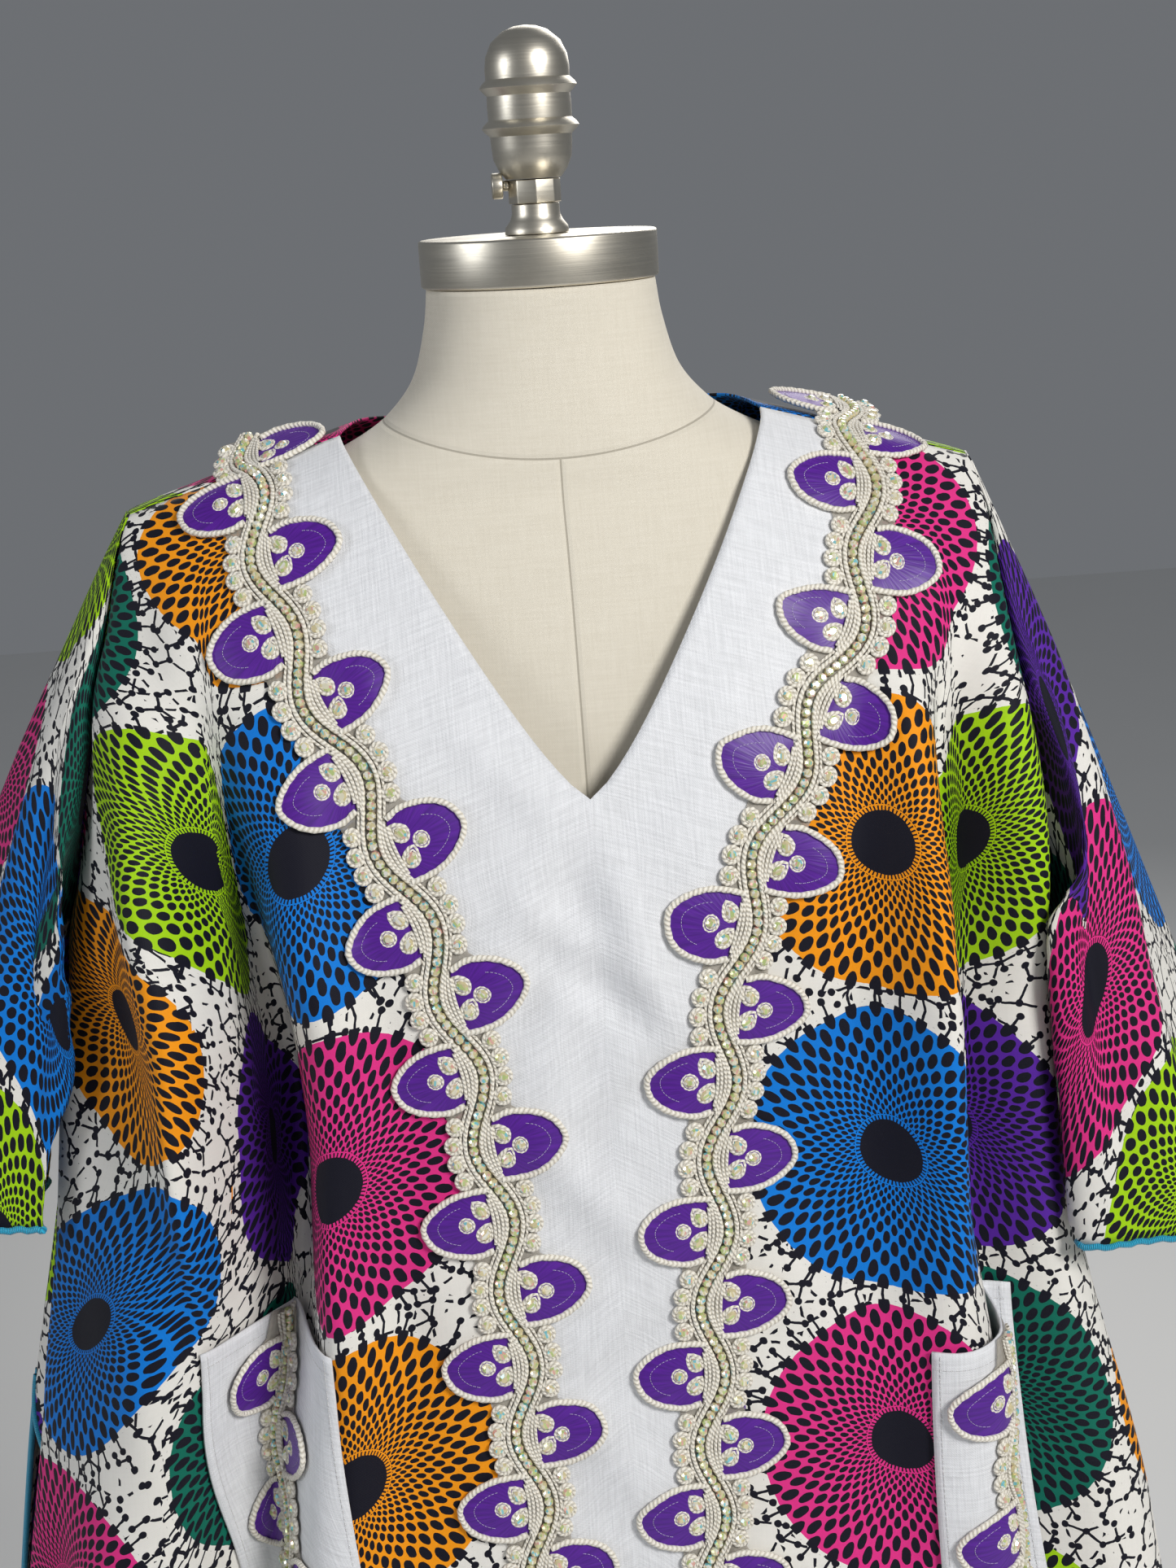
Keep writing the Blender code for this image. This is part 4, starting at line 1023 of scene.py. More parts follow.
def crystal_material():
    """Glass beads with a rainbow coating: each facet's tint comes from its UV."""
    made, tree, inputs = new_material("rainbow_crystal", 0.14, 0.30, coat_weight=1.0, coat_roughness=0.05)
    split = uv_split(tree)
    ramp = node(tree, "ValToRGB", {0: split[0]})
    stops = ((0.0, (0.78, 0.68, 0.40)), (0.30, (0.92, 0.87, 0.66)), (0.52, (0.58, 0.70, 0.28)),
             (0.68, (0.95, 0.94, 0.86)), (0.86, (0.26, 0.66, 0.74)), (0.94, (0.84, 0.46, 0.40)))
    ramp.color_ramp.interpolation = "CONSTANT"
    points = ramp.color_ramp.elements
    for i, (place, colour) in enumerate(stops):
        point = points[i] if i < 2 else points.new(place)
        point.position = place
        point.color = (*colour, 1.0)
    tree.links.new(ramp.outputs[0], inputs["Base Color"])
    return made


def thread_material(name, dark, light, pitch):
    """Close overlocked thread, wound round an edge by its UV, with painted shade in the grooves between its
    wraps.
    """
    made, tree, inputs = new_material(name, 0.45, sheen_weight=0.3)
    split = uv_split(tree)
    turn = maths(tree, "ADD", maths(tree, "DIVIDE", split[0], pitch), split[1])
    wave = ridged(tree, turn)
    # The darker colour fills the grooves between the wraps as painted shade
    tree.links.new(blend_colour(tree, wave, dark, light), inputs["Base Color"])
    bumped(tree, inputs, wave, 0.8, 0.0004)
    return made


def linen_material(weave):
    """Cream linen on the form, with its seams as thin dark creases."""
    made, tree, inputs = new_material("cream_linen", 0.8, sheen_weight=0.15)
    spot = node(tree, "TexCoord").outputs["Object"]
    split = node(tree, "SeparateXYZ", {0: spot}).outputs
    flat = node(tree, "CombineXYZ", {0: split[0], 1: split[2]}).outputs[0]
    height, shade = woven(tree, weave, 0.0004, 0.35, flat)
    colour = blend_colour(tree, shade, (0.64, 0.585, 0.475), (0.84, 0.79, 0.68))
    rise = maths(tree, "MULTIPLY", maths(tree, "MULTIPLY", split[0], split[0]), FORM_SEAM_RISE)
    seam_z = maths(tree, "ADD", FORM_SEAM_HEIGHT, rise)
    ring = maths(tree, "ABSOLUTE", maths(tree, "SUBTRACT", split[2], seam_z))
    above = maths(tree, "SUBTRACT", 1.0, maths(tree, "LESS_THAN", split[2], seam_z))
    centre = maths(tree, "ADD", maths(tree, "ABSOLUTE", split[0]), above)
    seam = maths(tree, "MINIMUM", ring, centre)
    line = maths(tree, "LESS_THAN", seam, FORM_SEAM_HALF)
    soft = node(tree, "MapRange", {"Value": seam, "From Max": FORM_SEAM_SOFT}).outputs[0]
    tree.links.new(blend_colour(tree, maths(tree, "MULTIPLY", line, 0.55), colour, (0.22, 0.19, 0.14)),
                   inputs["Base Color"])
    bumped(tree, inputs, maths(tree, "ADD", maths(tree, "MULTIPLY", height, 0.25), soft), 0.6, 0.0008)
    return made


def nickel_material():
    """Brushed nickel with fine turning lines and a little warmth."""
    made, tree, inputs = new_material("brushed_nickel", 0.3, 1.0)
    spot = node(tree, "TexCoord").outputs["Object"]
    lines = noise(tree, stretched(tree, spot, (18.0, 18.0, 1500.0)), 1.0, 3.0)
    blotch = noise(tree, spot, 60.0, 3.0)
    colour = blend_colour(tree, blotch, (0.62, 0.575, 0.48), (0.74, 0.70, 0.61))
    tree.links.new(colour, inputs["Base Color"])
    rough = maths(tree, "ADD", 0.28, maths(tree, "MULTIPLY", lines, 0.18))
    tree.links.new(rough, inputs["Roughness"])
    bumped(tree, inputs, lines, 0.12, 0.0002)
    return made


def pale_material(name, colour):
    made, tree, inputs = new_material(name, 0.85)
    blotch = noise(tree, node(tree, "TexCoord").outputs["Object"], 3.0, 2.0)
    light = tuple(c * 1.03 for c in colour)
    tree.links.new(blend_colour(tree, blotch, colour, light), inputs["Base Color"])
    return made


# Beaded trim on the cloth

class Ribbon:
    """Strip of the dress's surface along a line, read by length, width across and height off it."""

    def __init__(self, line_place, rows, lift, curl=0.0):
        self.curl = curl
        lengths = path_lengths(surface("front", line_place(rows), rows))
        self.length = lengths[-1]
        row = np.interp(np.arange(0.0, self.length, RIBBON_STEP), lengths, rows)
        place = line_place(row)
        halves = {side: self.march(place, row, side) for side in (-1, 1)}
        order = halves[-1][:0:-1] + halves[1]
        on = [surface("front", place, row) for place, row in order]
        normals = [slopes("front", place, row)[2] for place, row in order]
        ups = [lift(row)[:, None] for _, row in order]
        self.normals = np.stack(normals, axis=1)
        self.points = np.stack([spot + normal * up for spot, normal, up in zip(on, normals, ups)], axis=1)

    @staticmethod
    def march(place, row, side):
        """Even steps square to the line, over the cloth."""
        marks, heading = [(place, row)], None
        for _ in range(RIBBON_REACH):
            across, along, normal = slopes("front", place, row)
            if heading is None:
                heading = side * unit(np.cross(normal, np.gradient(surface("front", place, row), axis=0)))
            heading = unit(heading - normal * np.sum(heading * normal, axis=-1, keepdims=True))
            aa, bb = np.sum(across * across, axis=-1), np.sum(along * along, axis=-1)
            ab = np.sum(across * along, axis=-1)
            a, b = np.sum(across * heading, axis=-1), np.sum(along * heading, axis=-1)
            scale = RIBBON_ACROSS / (aa * bb - ab * ab)
            place = np.clip(place + scale * (a * bb - b * ab), -1.0, 1.0)
            row = np.clip(row + scale * (b * aa - a * ab), 0.0, LAST_ROW)
            marks.append((place, row))
        return marks

    def at(self, along, across, up):
        """Points and normals at lengths along, across to the viewer's right, and up off the cloth."""
        i = np.clip(np.asarray(along) / RIBBON_STEP, 0.0, self.points.shape[0] - 1.001)
        j = np.clip(np.asarray(across) / RIBBON_ACROSS + RIBBON_REACH, 0.0, 2 * RIBBON_REACH - 0.001)
        i, j = np.broadcast_arrays(i, j)
        i0, j0 = i.astype(int), j.astype(int)
        fi, fj = (i - i0)[..., None], (j - j0)[..., None]

        def read(grid):
            first = mix(grid[i0, j0], grid[i0 + 1, j0], fi)
            second = mix(grid[i0, j0 + 1], grid[i0 + 1, j0 + 1], fi)
            return mix(first, second, fj)

        normals = unit(read(self.normals))
        before = np.minimum(np.broadcast_to(along, i.shape), 0.0)[..., None]
        tail = unit(self.points[1] - self.points[0])
        tail = mix(tail[j0], tail[j0 + 1], fj) * before + np.array((0.0, 0.0, self.curl)) * before**2
        return read(self.points) + tail + normals * np.asarray(up)[..., None], normals


def closed_curve(points, count):
    """Even shares along a smooth closed curve through points."""
    points = np.asarray(points)
    places = np.arange(count) * len(points) / count
    wrapped = np.concatenate((points[-2:], points, points[:3]))
    return np.stack([curve_through(wrapped[:, axis], places + 2.0) for axis in (0, 1)], axis=-1)


def open_curve(points, count):
    points = np.asarray(points)
    places = np.linspace(0.0, len(points) - 1, count)
    return np.stack([curve_through(points[:, axis], places) for axis in (0, 1)], axis=-1)


def crystal_shape(rings):
    """Facetted dome from (radius, height) rings of eight corners."""
    angles = 2 * np.pi * np.arange(8) / 8
    points = np.array([(r * math.cos(a), r * math.sin(a), h) for r, h in rings for a in angles])
    numbers = np.arange(len(points)).reshape(len(rings), 8)
    numbers = np.hstack((numbers, numbers[:, :1]))
    sides = np.stack((numbers[:-1, :-1], numbers[:-1, 1:], numbers[1:, 1:], numbers[1:, :-1]), axis=-1)
    top = numbers[-1][np.array(((0, 1, 2, 3), (0, 3, 4, 7), (7, 4, 5, 6)))]
    return points, np.concatenate((sides.reshape(-1, 4), top))


CUP_CRYSTAL = crystal_shape(((0.0023, 0.0), (0.0022, 0.0012), (0.0013, 0.0021)))
LINE_CRYSTAL = crystal_shape(((0.0018, 0.0), (0.0023, 0.0013), (0.0019, 0.0029), (0.0010, 0.0037)))


class Trim:
    """Corded and beaded trim: petals to each side of a waving line of crystals."""

    def __init__(self, ribbon, start, tail):
        self.ribbon = ribbon
        self.start = start
        self.tail = tail
        self.petal_spots = {-1: [], 1: []}
        self.cords, self.beads, self.petals, self.stitches = Heap(), Heap(), Heap(), Heap()

    def cord(self, along, across, up, radius, sides=6, ring=False):
        path, normals = self.ribbon.at(along, across, up)
        tube(self.cords, path, normals, radius, sides, ring)

    def crystal(self, shape, along, across, up, stretch=1.0, heading=0.0):
        origin, normal = self.ribbon.at(np.array([along]), np.array([across]), np.array([up]))
        ahead = self.ribbon.at(np.array([along + 0.002]), np.array([across]), np.array([up]))[0]
        down = unit(ahead - origin)[0]
        side = np.cross(normal[0], down)
        points, faces = shape
        turn = heading if stretch != 1.0 else RANDOM.uniform(0.0, 0.8)
        x = points[:, 0] * stretch * math.cos(turn) - points[:, 1] * math.sin(turn)
        y = points[:, 0] * stretch * math.sin(turn) + points[:, 1] * math.cos(turn)
        placed = origin[0] + x[:, None] * down + y[:, None] * side + points[:, 2:3] * normal[0]
        tints = np.repeat(RANDOM.uniform(0.0, 1.0, len(faces)), 4)
        self.beads.add(placed, faces[:, ::-1] if np.dot(np.cross(down, side), normal[0]) < 0 else faces,
                       np.stack((tints, tints), axis=-1))

    def cup(self, along, across, side=1.0, tear=False, heading=0.0):
        """Two cord rings round a crystal. A tear's rings are drawn to a point where it heads."""
        angles = 2 * np.pi * np.arange(CUP_SIDES) / CUP_SIDES
        for radius, thick, up in CUP_RINGS:
            reach = radius * (1.0 + (TEAR_DRAW * np.maximum(np.cos(angles), 0.0) ** 3 if tear else 0.0))
            x, y = reach * np.cos(angles), 0.95 * radius * np.sin(angles)
            turned_x = x * math.cos(heading) - y * math.sin(heading)
            turned_y = x * math.sin(heading) + y * math.cos(heading)
            self.cord(along + turned_x, across + turned_y * side, np.full(CUP_SIDES, up), thick, 5, ring=True)
        self.crystal(CUP_CRYSTAL, along, across, CUP_BEAD_UP, TEAR_STRETCH if tear else 1.0, heading * side)

    def wave(self, along):
        return TRIM_WAVE * np.cos(2 * np.pi * (along - self.start) / TRIM_REPEAT)

    def middle(self):
        """The waving line of crystals between two cords."""
        along = np.arange(-self.tail, self.ribbon.length, MIDDLE_STEP)
        slope = np.gradient(self.wave(along), along)
        square = np.sqrt(1.0 + slope * slope)
        for side in (-1, 1):
            for off, up, radius in MIDDLE_CORDS:
                thick = radius * (1.0 + BRAID_DEPTH * np.sin(2 * np.pi * along / BRAID_PITCH))
                self.cord(along - side * off * slope / square, self.wave(along) + side * off / square,
                          np.full_like(along, up), thick)
        run = path_lengths(np.stack((along, self.wave(along)), axis=-1))
        for spot in np.interp(np.arange(BEAD_PITCH / 2, run[-1] - BEAD_PITCH / 2, BEAD_PITCH), run, along):
            self.crystal(LINE_CRYSTAL, spot, float(self.wave(spot)), BEAD_UP)

    def petal(self, middle, side):
        """One petal with its corded edge, root cords, cups and silver stitches. Side -1 is the left."""

        def spots(shape):
            return middle + shape[:, 1] * -side, side * shape[:, 0]

        outline = open_curve(PETAL_OUTLINE, PETAL_CORD_POINTS)
        thick = PETAL_CORD_RADIUS * (1.0 + 0.10 * np.cos(np.arange(PETAL_CORD_POINTS) * np.pi))
        self.cord(*spots(outline), np.full(PETAL_CORD_POINTS, PETAL_CORD_UP), thick)
        edge = closed_curve(PETAL_OUTLINE + (PETAL_ROOT, ), PETAL_SIDES)
        centre = np.array(PETAL_MIDDLE)
        rings, domed = [], []
        for share in np.linspace(1.0, 0.0, PETAL_RINGS + 1)[:-1]:
            ring = centre + (edge - centre) * share
            up = PETAL_LOW + PETAL_DOME * (1.0 - share**2)
            rings.append(ring)
            domed.append(self.ribbon.at(*spots(ring), np.full(PETAL_SIDES, up))[0])
        top = self.ribbon.at(*spots(centre[None]), np.array([PETAL_LOW + PETAL_DOME]))[0]
        numbers = np.arange(PETAL_RINGS * PETAL_SIDES).reshape(PETAL_RINGS, PETAL_SIDES)
        numbers = np.hstack((numbers, numbers[:, :1]))
        flat = np.concatenate((np.concatenate(rings), centre[None]))
        fan = np.arctan2(flat[:, 1], flat[:, 0] - PETAL_FAN_ROOT) * PETAL_FAN_WIDTH
        uvs = np.stack((fan, np.hypot(flat[:, 0], flat[:, 1])), axis=-1)
        faces = corners(numbers)
        first = self.petals.count
        self.petals.add(np.concatenate(domed + [top]), faces, uvs[faces.ravel()])
        for number, after in zip(numbers[-1].tolist(), numbers[-1, 1:].tolist()):
            face = [number, PETAL_RINGS * PETAL_SIDES, after]
            self.petals.faces.append([first + n for n in face])
            self.petals.uvs.extend(uvs[face].tolist())
        self.root(middle, side)
        self.stitching(spots)
        for out, off in TEAR_SPOTS:
            heading = math.pi + math.copysign(TEAR_TURN, off)
            self.cup(middle - side * off, side * out, side, True, heading)
        self.cup(middle - side * ROUND_SPOT[1], side * ROUND_SPOT[0])
        for out, off in CUP_SPOTS:
            self.cup(middle - side * off, -side * out)

    def root(self, middle, side):
        """Nested cords that curve round the petal's root."""
        for number, start in enumerate(ROOT_CORDS):
            off = np.linspace(-ROOT_REACH, ROOT_REACH - ROOT_SHORT, ROOT_POINTS)[number:ROOT_POINTS - number]
            out = mix(start, ROOT_OUT + ROOT_SPREAD * number, (np.abs(off) / ROOT_REACH) ** 1.9)
            up = np.full_like(off, ROOT_UP + ROOT_RISE * number)
            self.cord(middle - side * off, side * out, up, ROOT_RADIUS, 5)

    def stitching(self, spots):
        """Broken silver line inside the petal's edge."""
        centre = np.add(PETAL_MIDDLE, STITCH_SHIFT)
        line = centre + (open_curve(PETAL_OUTLINE, PETAL_CORD_POINTS)[5:25] - centre) * STITCH_SHARE
        for start, after in zip(line, line[1:]):
            along, across = spots(np.stack((start, mix(start, after, 0.7))))
            path, normals = self.ribbon.at(along, across, np.full(2, STITCH_UP))
            tube(self.stitches, path, normals, STITCH_RADIUS, 4)

    def backing(self, name, finish):
        """Sheer net under the cords, cut round the petals."""
        along = np.arange(-self.tail, self.ribbon.length - 0.001, RIBBON_STEP)
        lines = []
        for side in (-1, 1):
            place = np.min(np.abs(along[:, None] - np.array(self.petal_spots[side])), axis=1)
            arch = np.sqrt(np.maximum(1.0 - (place / BACKING_ARCH) ** 2, 0.0))
            lines.append(side * np.maximum(BACKING_REACH * arch**0.8, BACKING_LEAST))
        shares = np.linspace(0.0, 1.0, BACKING_COLUMNS)
        across = mix(lines[0][:, None], lines[1][:, None], shares[None])
        points = self.ribbon.at(along[:, None], across, np.full_like(across, BACKING_UP))[0]
        uv = np.stack(np.broadcast_arrays(across, along[:, None]), axis=-1)
        return cloth_sheet(name + "_net", points, uv, finish, thickness=BACKING_THICKNESS)

    def build(self, name, finishes):
        self.middle()
        for k in range(-1, int(self.ribbon.length / TRIM_REPEAT) + 2):
            for side, shift in ((-1, 0.0), (1, 0.5)):
                middle = self.start + (k + shift) * TRIM_REPEAT
                if PETAL_FROM_START - self.tail < middle < self.ribbon.length - PETAL_FROM_END:
                    self.petal_spots[side].append(middle)
                    self.petal(middle, side)
        pieces = [
            self.backing(name, finishes["net"]),
            self.cords.made(name + "_cords", finishes["cord"]),
            self.petals.made(name + "_petals", finishes["petal"]),
            self.beads.made(name + "_crystals", finishes["crystal"], False),
            self.stitches.made(name + "_stitches", finishes["silver"]),
        ]
        for piece in pieces:
            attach(piece, "root")
        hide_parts(name)
        return pieces


# The dress

def print_panel(name, side, finish):
    """Front panel, its print laid from the seam, with what the folds take up left out."""
    seam = place_at_x(seam_x(side, ROWS) + side * SEAM_GAP / 2, ROWS)
    limit = side_limit("front", side, ROWS)
    low, high = (limit, seam) if side < 0 else (seam, limit)
    places = mix(low[:, None], high[:, None], np.linspace(0.0, 1.0, FRONT_COLUMNS)[None])
    points = surface("front", places, ROWS[:, None])
    across = lengths_along(points, 1)
    if side < 0:
        across = across - across[:, -1:]
    u = across + seam_x(side, ROWS)[:, None] + PRINT_SHIFT[name][0]
    v = lengths_along(points, 0) + PRINT_SHIFT[name][1]
    tuck = TUCKS[side]
    line = np.interp(points[..., 2], TUCK_HEIGHTS, (tuck.low_x, tuck.middle_x, tuck.top_x))
    past = smooth((side * (points[..., 0] - line) + TUCK_HALF) / (2 * TUCK_HALF))
    past = past * smooth((TUCK_TOP - points[..., 2]) / TUCK_FADE)
    u = u + past * tuck.across
    face_u = (u[:-1, :-1] + u[1:, 1:]) / 2
    lift = OUTER_LIFT * ((face_u < OUTER_COLUMN) & (side < 0))
    return cloth_sheet(name + "_cloth", points, np.stack((u, v), axis=-1), finish, lift=lift)


def back_panel(finish):
    low, high = side_limit("back", -1, ROWS), side_limit("back", 1, ROWS)
    places = mix(high[:, None], low[:, None], np.linspace(0.0, 1.0, BACK_COLUMNS)[None])
    x = base_point("back", places, np.zeros_like(places))[..., 0]
    from_middle = (np.abs(x) / NECK_HALF) ** BACK_NECK_FLAT
    scoop = BACK_NECK_ROW * np.maximum(1.0 - from_middle, 0.0) ** BACK_NECK_CURVE
    rows = ROWS[:, None] + scoop * np.maximum(1.0 - ROWS[:, None] / V_BOTTOM_ROW, 0.0)
    points = surface("back", places, rows)
    across = lengths_along(points, 1)
    middle = across.shape[1] // 2
    scooped = np.linalg.norm(points[0] - surface("back", places[0], FIRST_ROW), axis=-1)
    uv = np.stack((across - across[:, middle:middle + 1] + PRINT_SHIFT["back"][0],
                   lengths_along(points, 0) + scooped + PRINT_SHIFT["back"][1]), axis=-1)
    return cloth_sheet("back_cloth", points, uv, finish)


def white_panel(finish):
    """Centre front in two halves that meet below the V."""
    halves = []
    for side in (-1, 1):
        seam = place_at_x(seam_x(side, ROWS) - side * SEAM_GAP / 2, ROWS)
        inner = place_at_x(side * np.maximum(v_half(ROWS), 1e-9), ROWS)
        low, high = (seam, inner) if side < 0 else (inner, seam)
        places = mix(low[:, None], high[:, None], np.linspace(0.0, 1.0, WHITE_COLUMNS)[None])
        points = surface("front", places, ROWS[:, None])
        inner_x = side * v_half(ROWS)[:, None]
        across = lengths_along(points, 1)
        u = inner_x + (across - across[:, -1:] if side < 0 else across)
        uv = np.stack((u, lengths_along(points, 0)), axis=-1)
        halves.append(cloth_sheet("front_center_cloth", points, uv, finish))
    panel, other = halves
    mesh = bmesh.new()
    mesh.from_mesh(panel.data)
    mesh.from_mesh(other.data)
    bmesh.ops.remove_doubles(mesh, verts=mesh.verts, dist=0.00005)
    mesh.to_mesh(panel.data)
    mesh.free()
    bpy.data.objects.remove(other, do_unlink=True)
    return panel


# Rows at which the side of the dress is read, and their heights

SIDE_STEPS = 10
SIDE_ROWS = np.arange(0, SIDE_STEPS * int(LAST_ROW) + 1) / SIDE_STEPS
SIDE_HEIGHTS = -base_point("front", np.full_like(SIDE_ROWS, 0.95), SIDE_ROWS)[:, 2]


def side_lines(side):
    """Round the side of the dress at each tenth of a row, from the front to the back."""
    places = np.linspace(0.35, 1.0, 27) * side
    front = surface("front", places[None], SIDE_ROWS[:, None])
    back = surface("back", places[None, ::-1], SIDE_ROWS[:, None])
    return np.concatenate((front, back), axis=1)


def body_side_x(lines, y, z):
    """Half width of the dress and its folds at a depth and height."""
    row = np.rint(np.interp(-z, SIDE_HEIGHTS, SIDE_ROWS) * SIDE_STEPS).astype(int)
    widest = np.zeros_like(y)
    for k in range(lines.shape[1] - 1):
        first, second = lines[row, k], lines[row, k + 1]
        near, far = np.minimum(first[..., 1], second[..., 1]), np.maximum(first[..., 1], second[..., 1])
        within = (near <= y) & (y <= far)
        reach = np.maximum(np.abs(first[..., 0]), np.abs(second[..., 0]))
        widest = np.where(within, np.maximum(widest, reach), widest)
    return widest


def sleeve_points(sleeve, turn, share, lines):
    around = turn / np.pi
    front = around <= 1.0
    row = UNDERARM_ROW * np.where(front, around, 2.0 - around)
    place = np.full_like(row, float(sleeve.side))
    start = np.where(front[..., None], surface("front", place, row), surface("back", place, row))
    start = start + np.array((sleeve.side * 3 * SEAM_GAP, 0.0, 0.0))
    tilt = math.radians(sleeve.turn)
    x = sleeve.half_x * powered(np.cos(turn), SLEEVE_SQUARENESS)
    y = -sleeve.half_y * powered(np.sin(turn), SLEEVE_SQUARENESS)
    end = np.stack((
        sleeve.side * (sleeve.middle_x + x * math.cos(tilt) + y * math.sin(tilt)),
        sleeve.middle_y + y * math.cos(tilt) - x * math.sin(tilt),
        np.full_like(x, sleeve.hem_z),
    ), axis=-1)
    here = mix(start, end, share[..., None])
    swell = (1.0 - (1.0 - share) ** 5) * (1.0 - share)
    here[..., 1] -= SLEEVE_BULGE * swell * np.sin(turn)
    here[..., 0] += sleeve.side * SLEEVE_CAP * swell * np.maximum(np.cos(turn), 0.0)
    degrees = np.degrees(turn)
    outward = np.stack((sleeve.side * np.cos(turn), -np.sin(turn), np.zeros_like(turn)), axis=-1)
    push = np.zeros_like(turn)
    for fold in SLEEVE_FOLDS:
        away = np.minimum(np.abs(degrees - fold.angle) / fold.width, 1.0)
        push += fold.depth * (1.0 + np.cos(np.pi * away)) / 2.0 * smooth(share / 0.4)
    for crease in SLEEVE_CREASES:
        run = (share - crease.share1) / (crease.share2 - crease.share1)
        away = (degrees - mix(crease.angle1, crease.angle2, run)) / crease.width
        fade = smooth((run + 0.1) / 0.4) * smooth((1.25 - run) / 0.5)
        bank = SLEEVE_CREASE_BANK * np.exp(-(away - SLEEVE_CREASE_BANK_AT) ** 2)
        push += crease.depth * fade * (np.exp(-away**2) - bank)
    here = here + outward * push[..., None]
    least = body_side_x(lines, here[..., 1], here[..., 2]) + SLEEVE_CLEAR * smooth(share / 0.3)
    here[..., 0] = sleeve.side * np.maximum(np.abs(here[..., 0]), least)
    return here


def settle(points, times):
    """Evens out small steps in a ring grid. Its first row stays, and its last moves only round the ring."""
    for _ in range(times):
        round_way = (np.roll(points, 1, axis=1) + np.roll(points, -1, axis=1)) / 2
        moved = points.copy()
        moved[1:-1] = (points[:-2] + points[2:]) / 4 + round_way[1:-1] / 2
        moved[-1] = round_way[-1]
        points = mix(points, moved, SLEEVE_EVEN_SHARE)
    return points


def sleeve(shape, finish, thread):
    share = np.linspace(0.0, 1.0, SLEEVE_ROWS)
    turn = (np.pi + 2 * np.pi * np.arange(SLEEVE_COLUMNS) / SLEEVE_COLUMNS) % (2 * np.pi)
    share_grid, turn_grid = np.meshgrid(share, turn, indexing="ij")
    points = settle(sleeve_points(shape, turn_grid, share_grid, side_lines(shape.side)), SLEEVE_EVENINGS)
    wrapped = np.concatenate((points, points[:, :1]), axis=1)
    around, down = lengths_along(wrapped, 1), lengths_along(wrapped, 0)
    half = around[:, SLEEVE_COLUMNS // 2][:, None]
    shown = SLEEVE_PRINTS[shape.name]
    uv = np.stack((shown.start_u + shown.way * down, shown.start_v + shown.way * (around - half)), axis=-1)
    made = cloth_sheet(shape.name + "_cloth", points, uv, finish, ring=True, flip=shape.side > 0)
    path = points[-1] - np.array((0.0, 0.0, ROLL_RADIUS * ROLL_BELOW))
    path[:, 2] += ROLL_RIPPLE * np.sin(np.arange(len(path)) * 1.9)
    outward = unit(path - np.mean(path, axis=0))
    heap = Heap()
    tube(heap, path, outward, ROLL_RADIUS, 8, ring=True)
    hem = heap.made(shape.name + "_overlock", thread)
    finish_piece(made, "wax_print_cotton", shape.name)
    finish_piece(hem, "turquoise_thread", shape.name + "_hem")


def finish_piece(piece, slot, *nodes):
    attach(piece, "root")
    if nodes:
        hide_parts(*nodes)


def edge_roll(name, panel, thread):
    """Rolled edge along the hem and up the panel's two slit edges."""
    slit = np.linspace(SLIT_TOP_ROW, LAST_ROW, SLIT_POINTS)
    hem = np.linspace(0.0, 1.0, HEM_POINTS)[1:-1]
    low, high = side_limit(panel, -1, slit), side_limit(panel, 1, slit)
    places = np.concatenate((low, mix(low[-1], high[-1], hem), high[::-1]))
    rows = np.concatenate((slit, np.full(len(hem), LAST_ROW), slit[::-1]))
    on = surface(panel, places, rows)
    normals = slopes(panel, places, rows)[2]
    path = on - normals * CLOTH / 2
    sideways = np.concatenate((-np.ones(len(slit)), np.zeros(len(hem)), np.ones(len(slit))))
    nearer = surface(panel, places - sideways * 0.02, rows)
    path += unit(on - nearer) * np.abs(sideways)[:, None] * ROLL_RADIUS * ROLL_PAST
    path[rows == LAST_ROW, 2] -= ROLL_RADIUS * ROLL_PAST
    heap = Heap()
    tube(heap, path, normals, ROLL_RADIUS, 8)
    roll = heap.made(name + "_overlock", thread)
    finish_piece(roll, "turquoise_thread", name)
    return roll


def panel_share_place(side, share, row):
    edge = place_at_x(seam_x(side, row) + side * TRIM_PETAL, row)
    return mix(edge, side_limit("front", side, row), share)


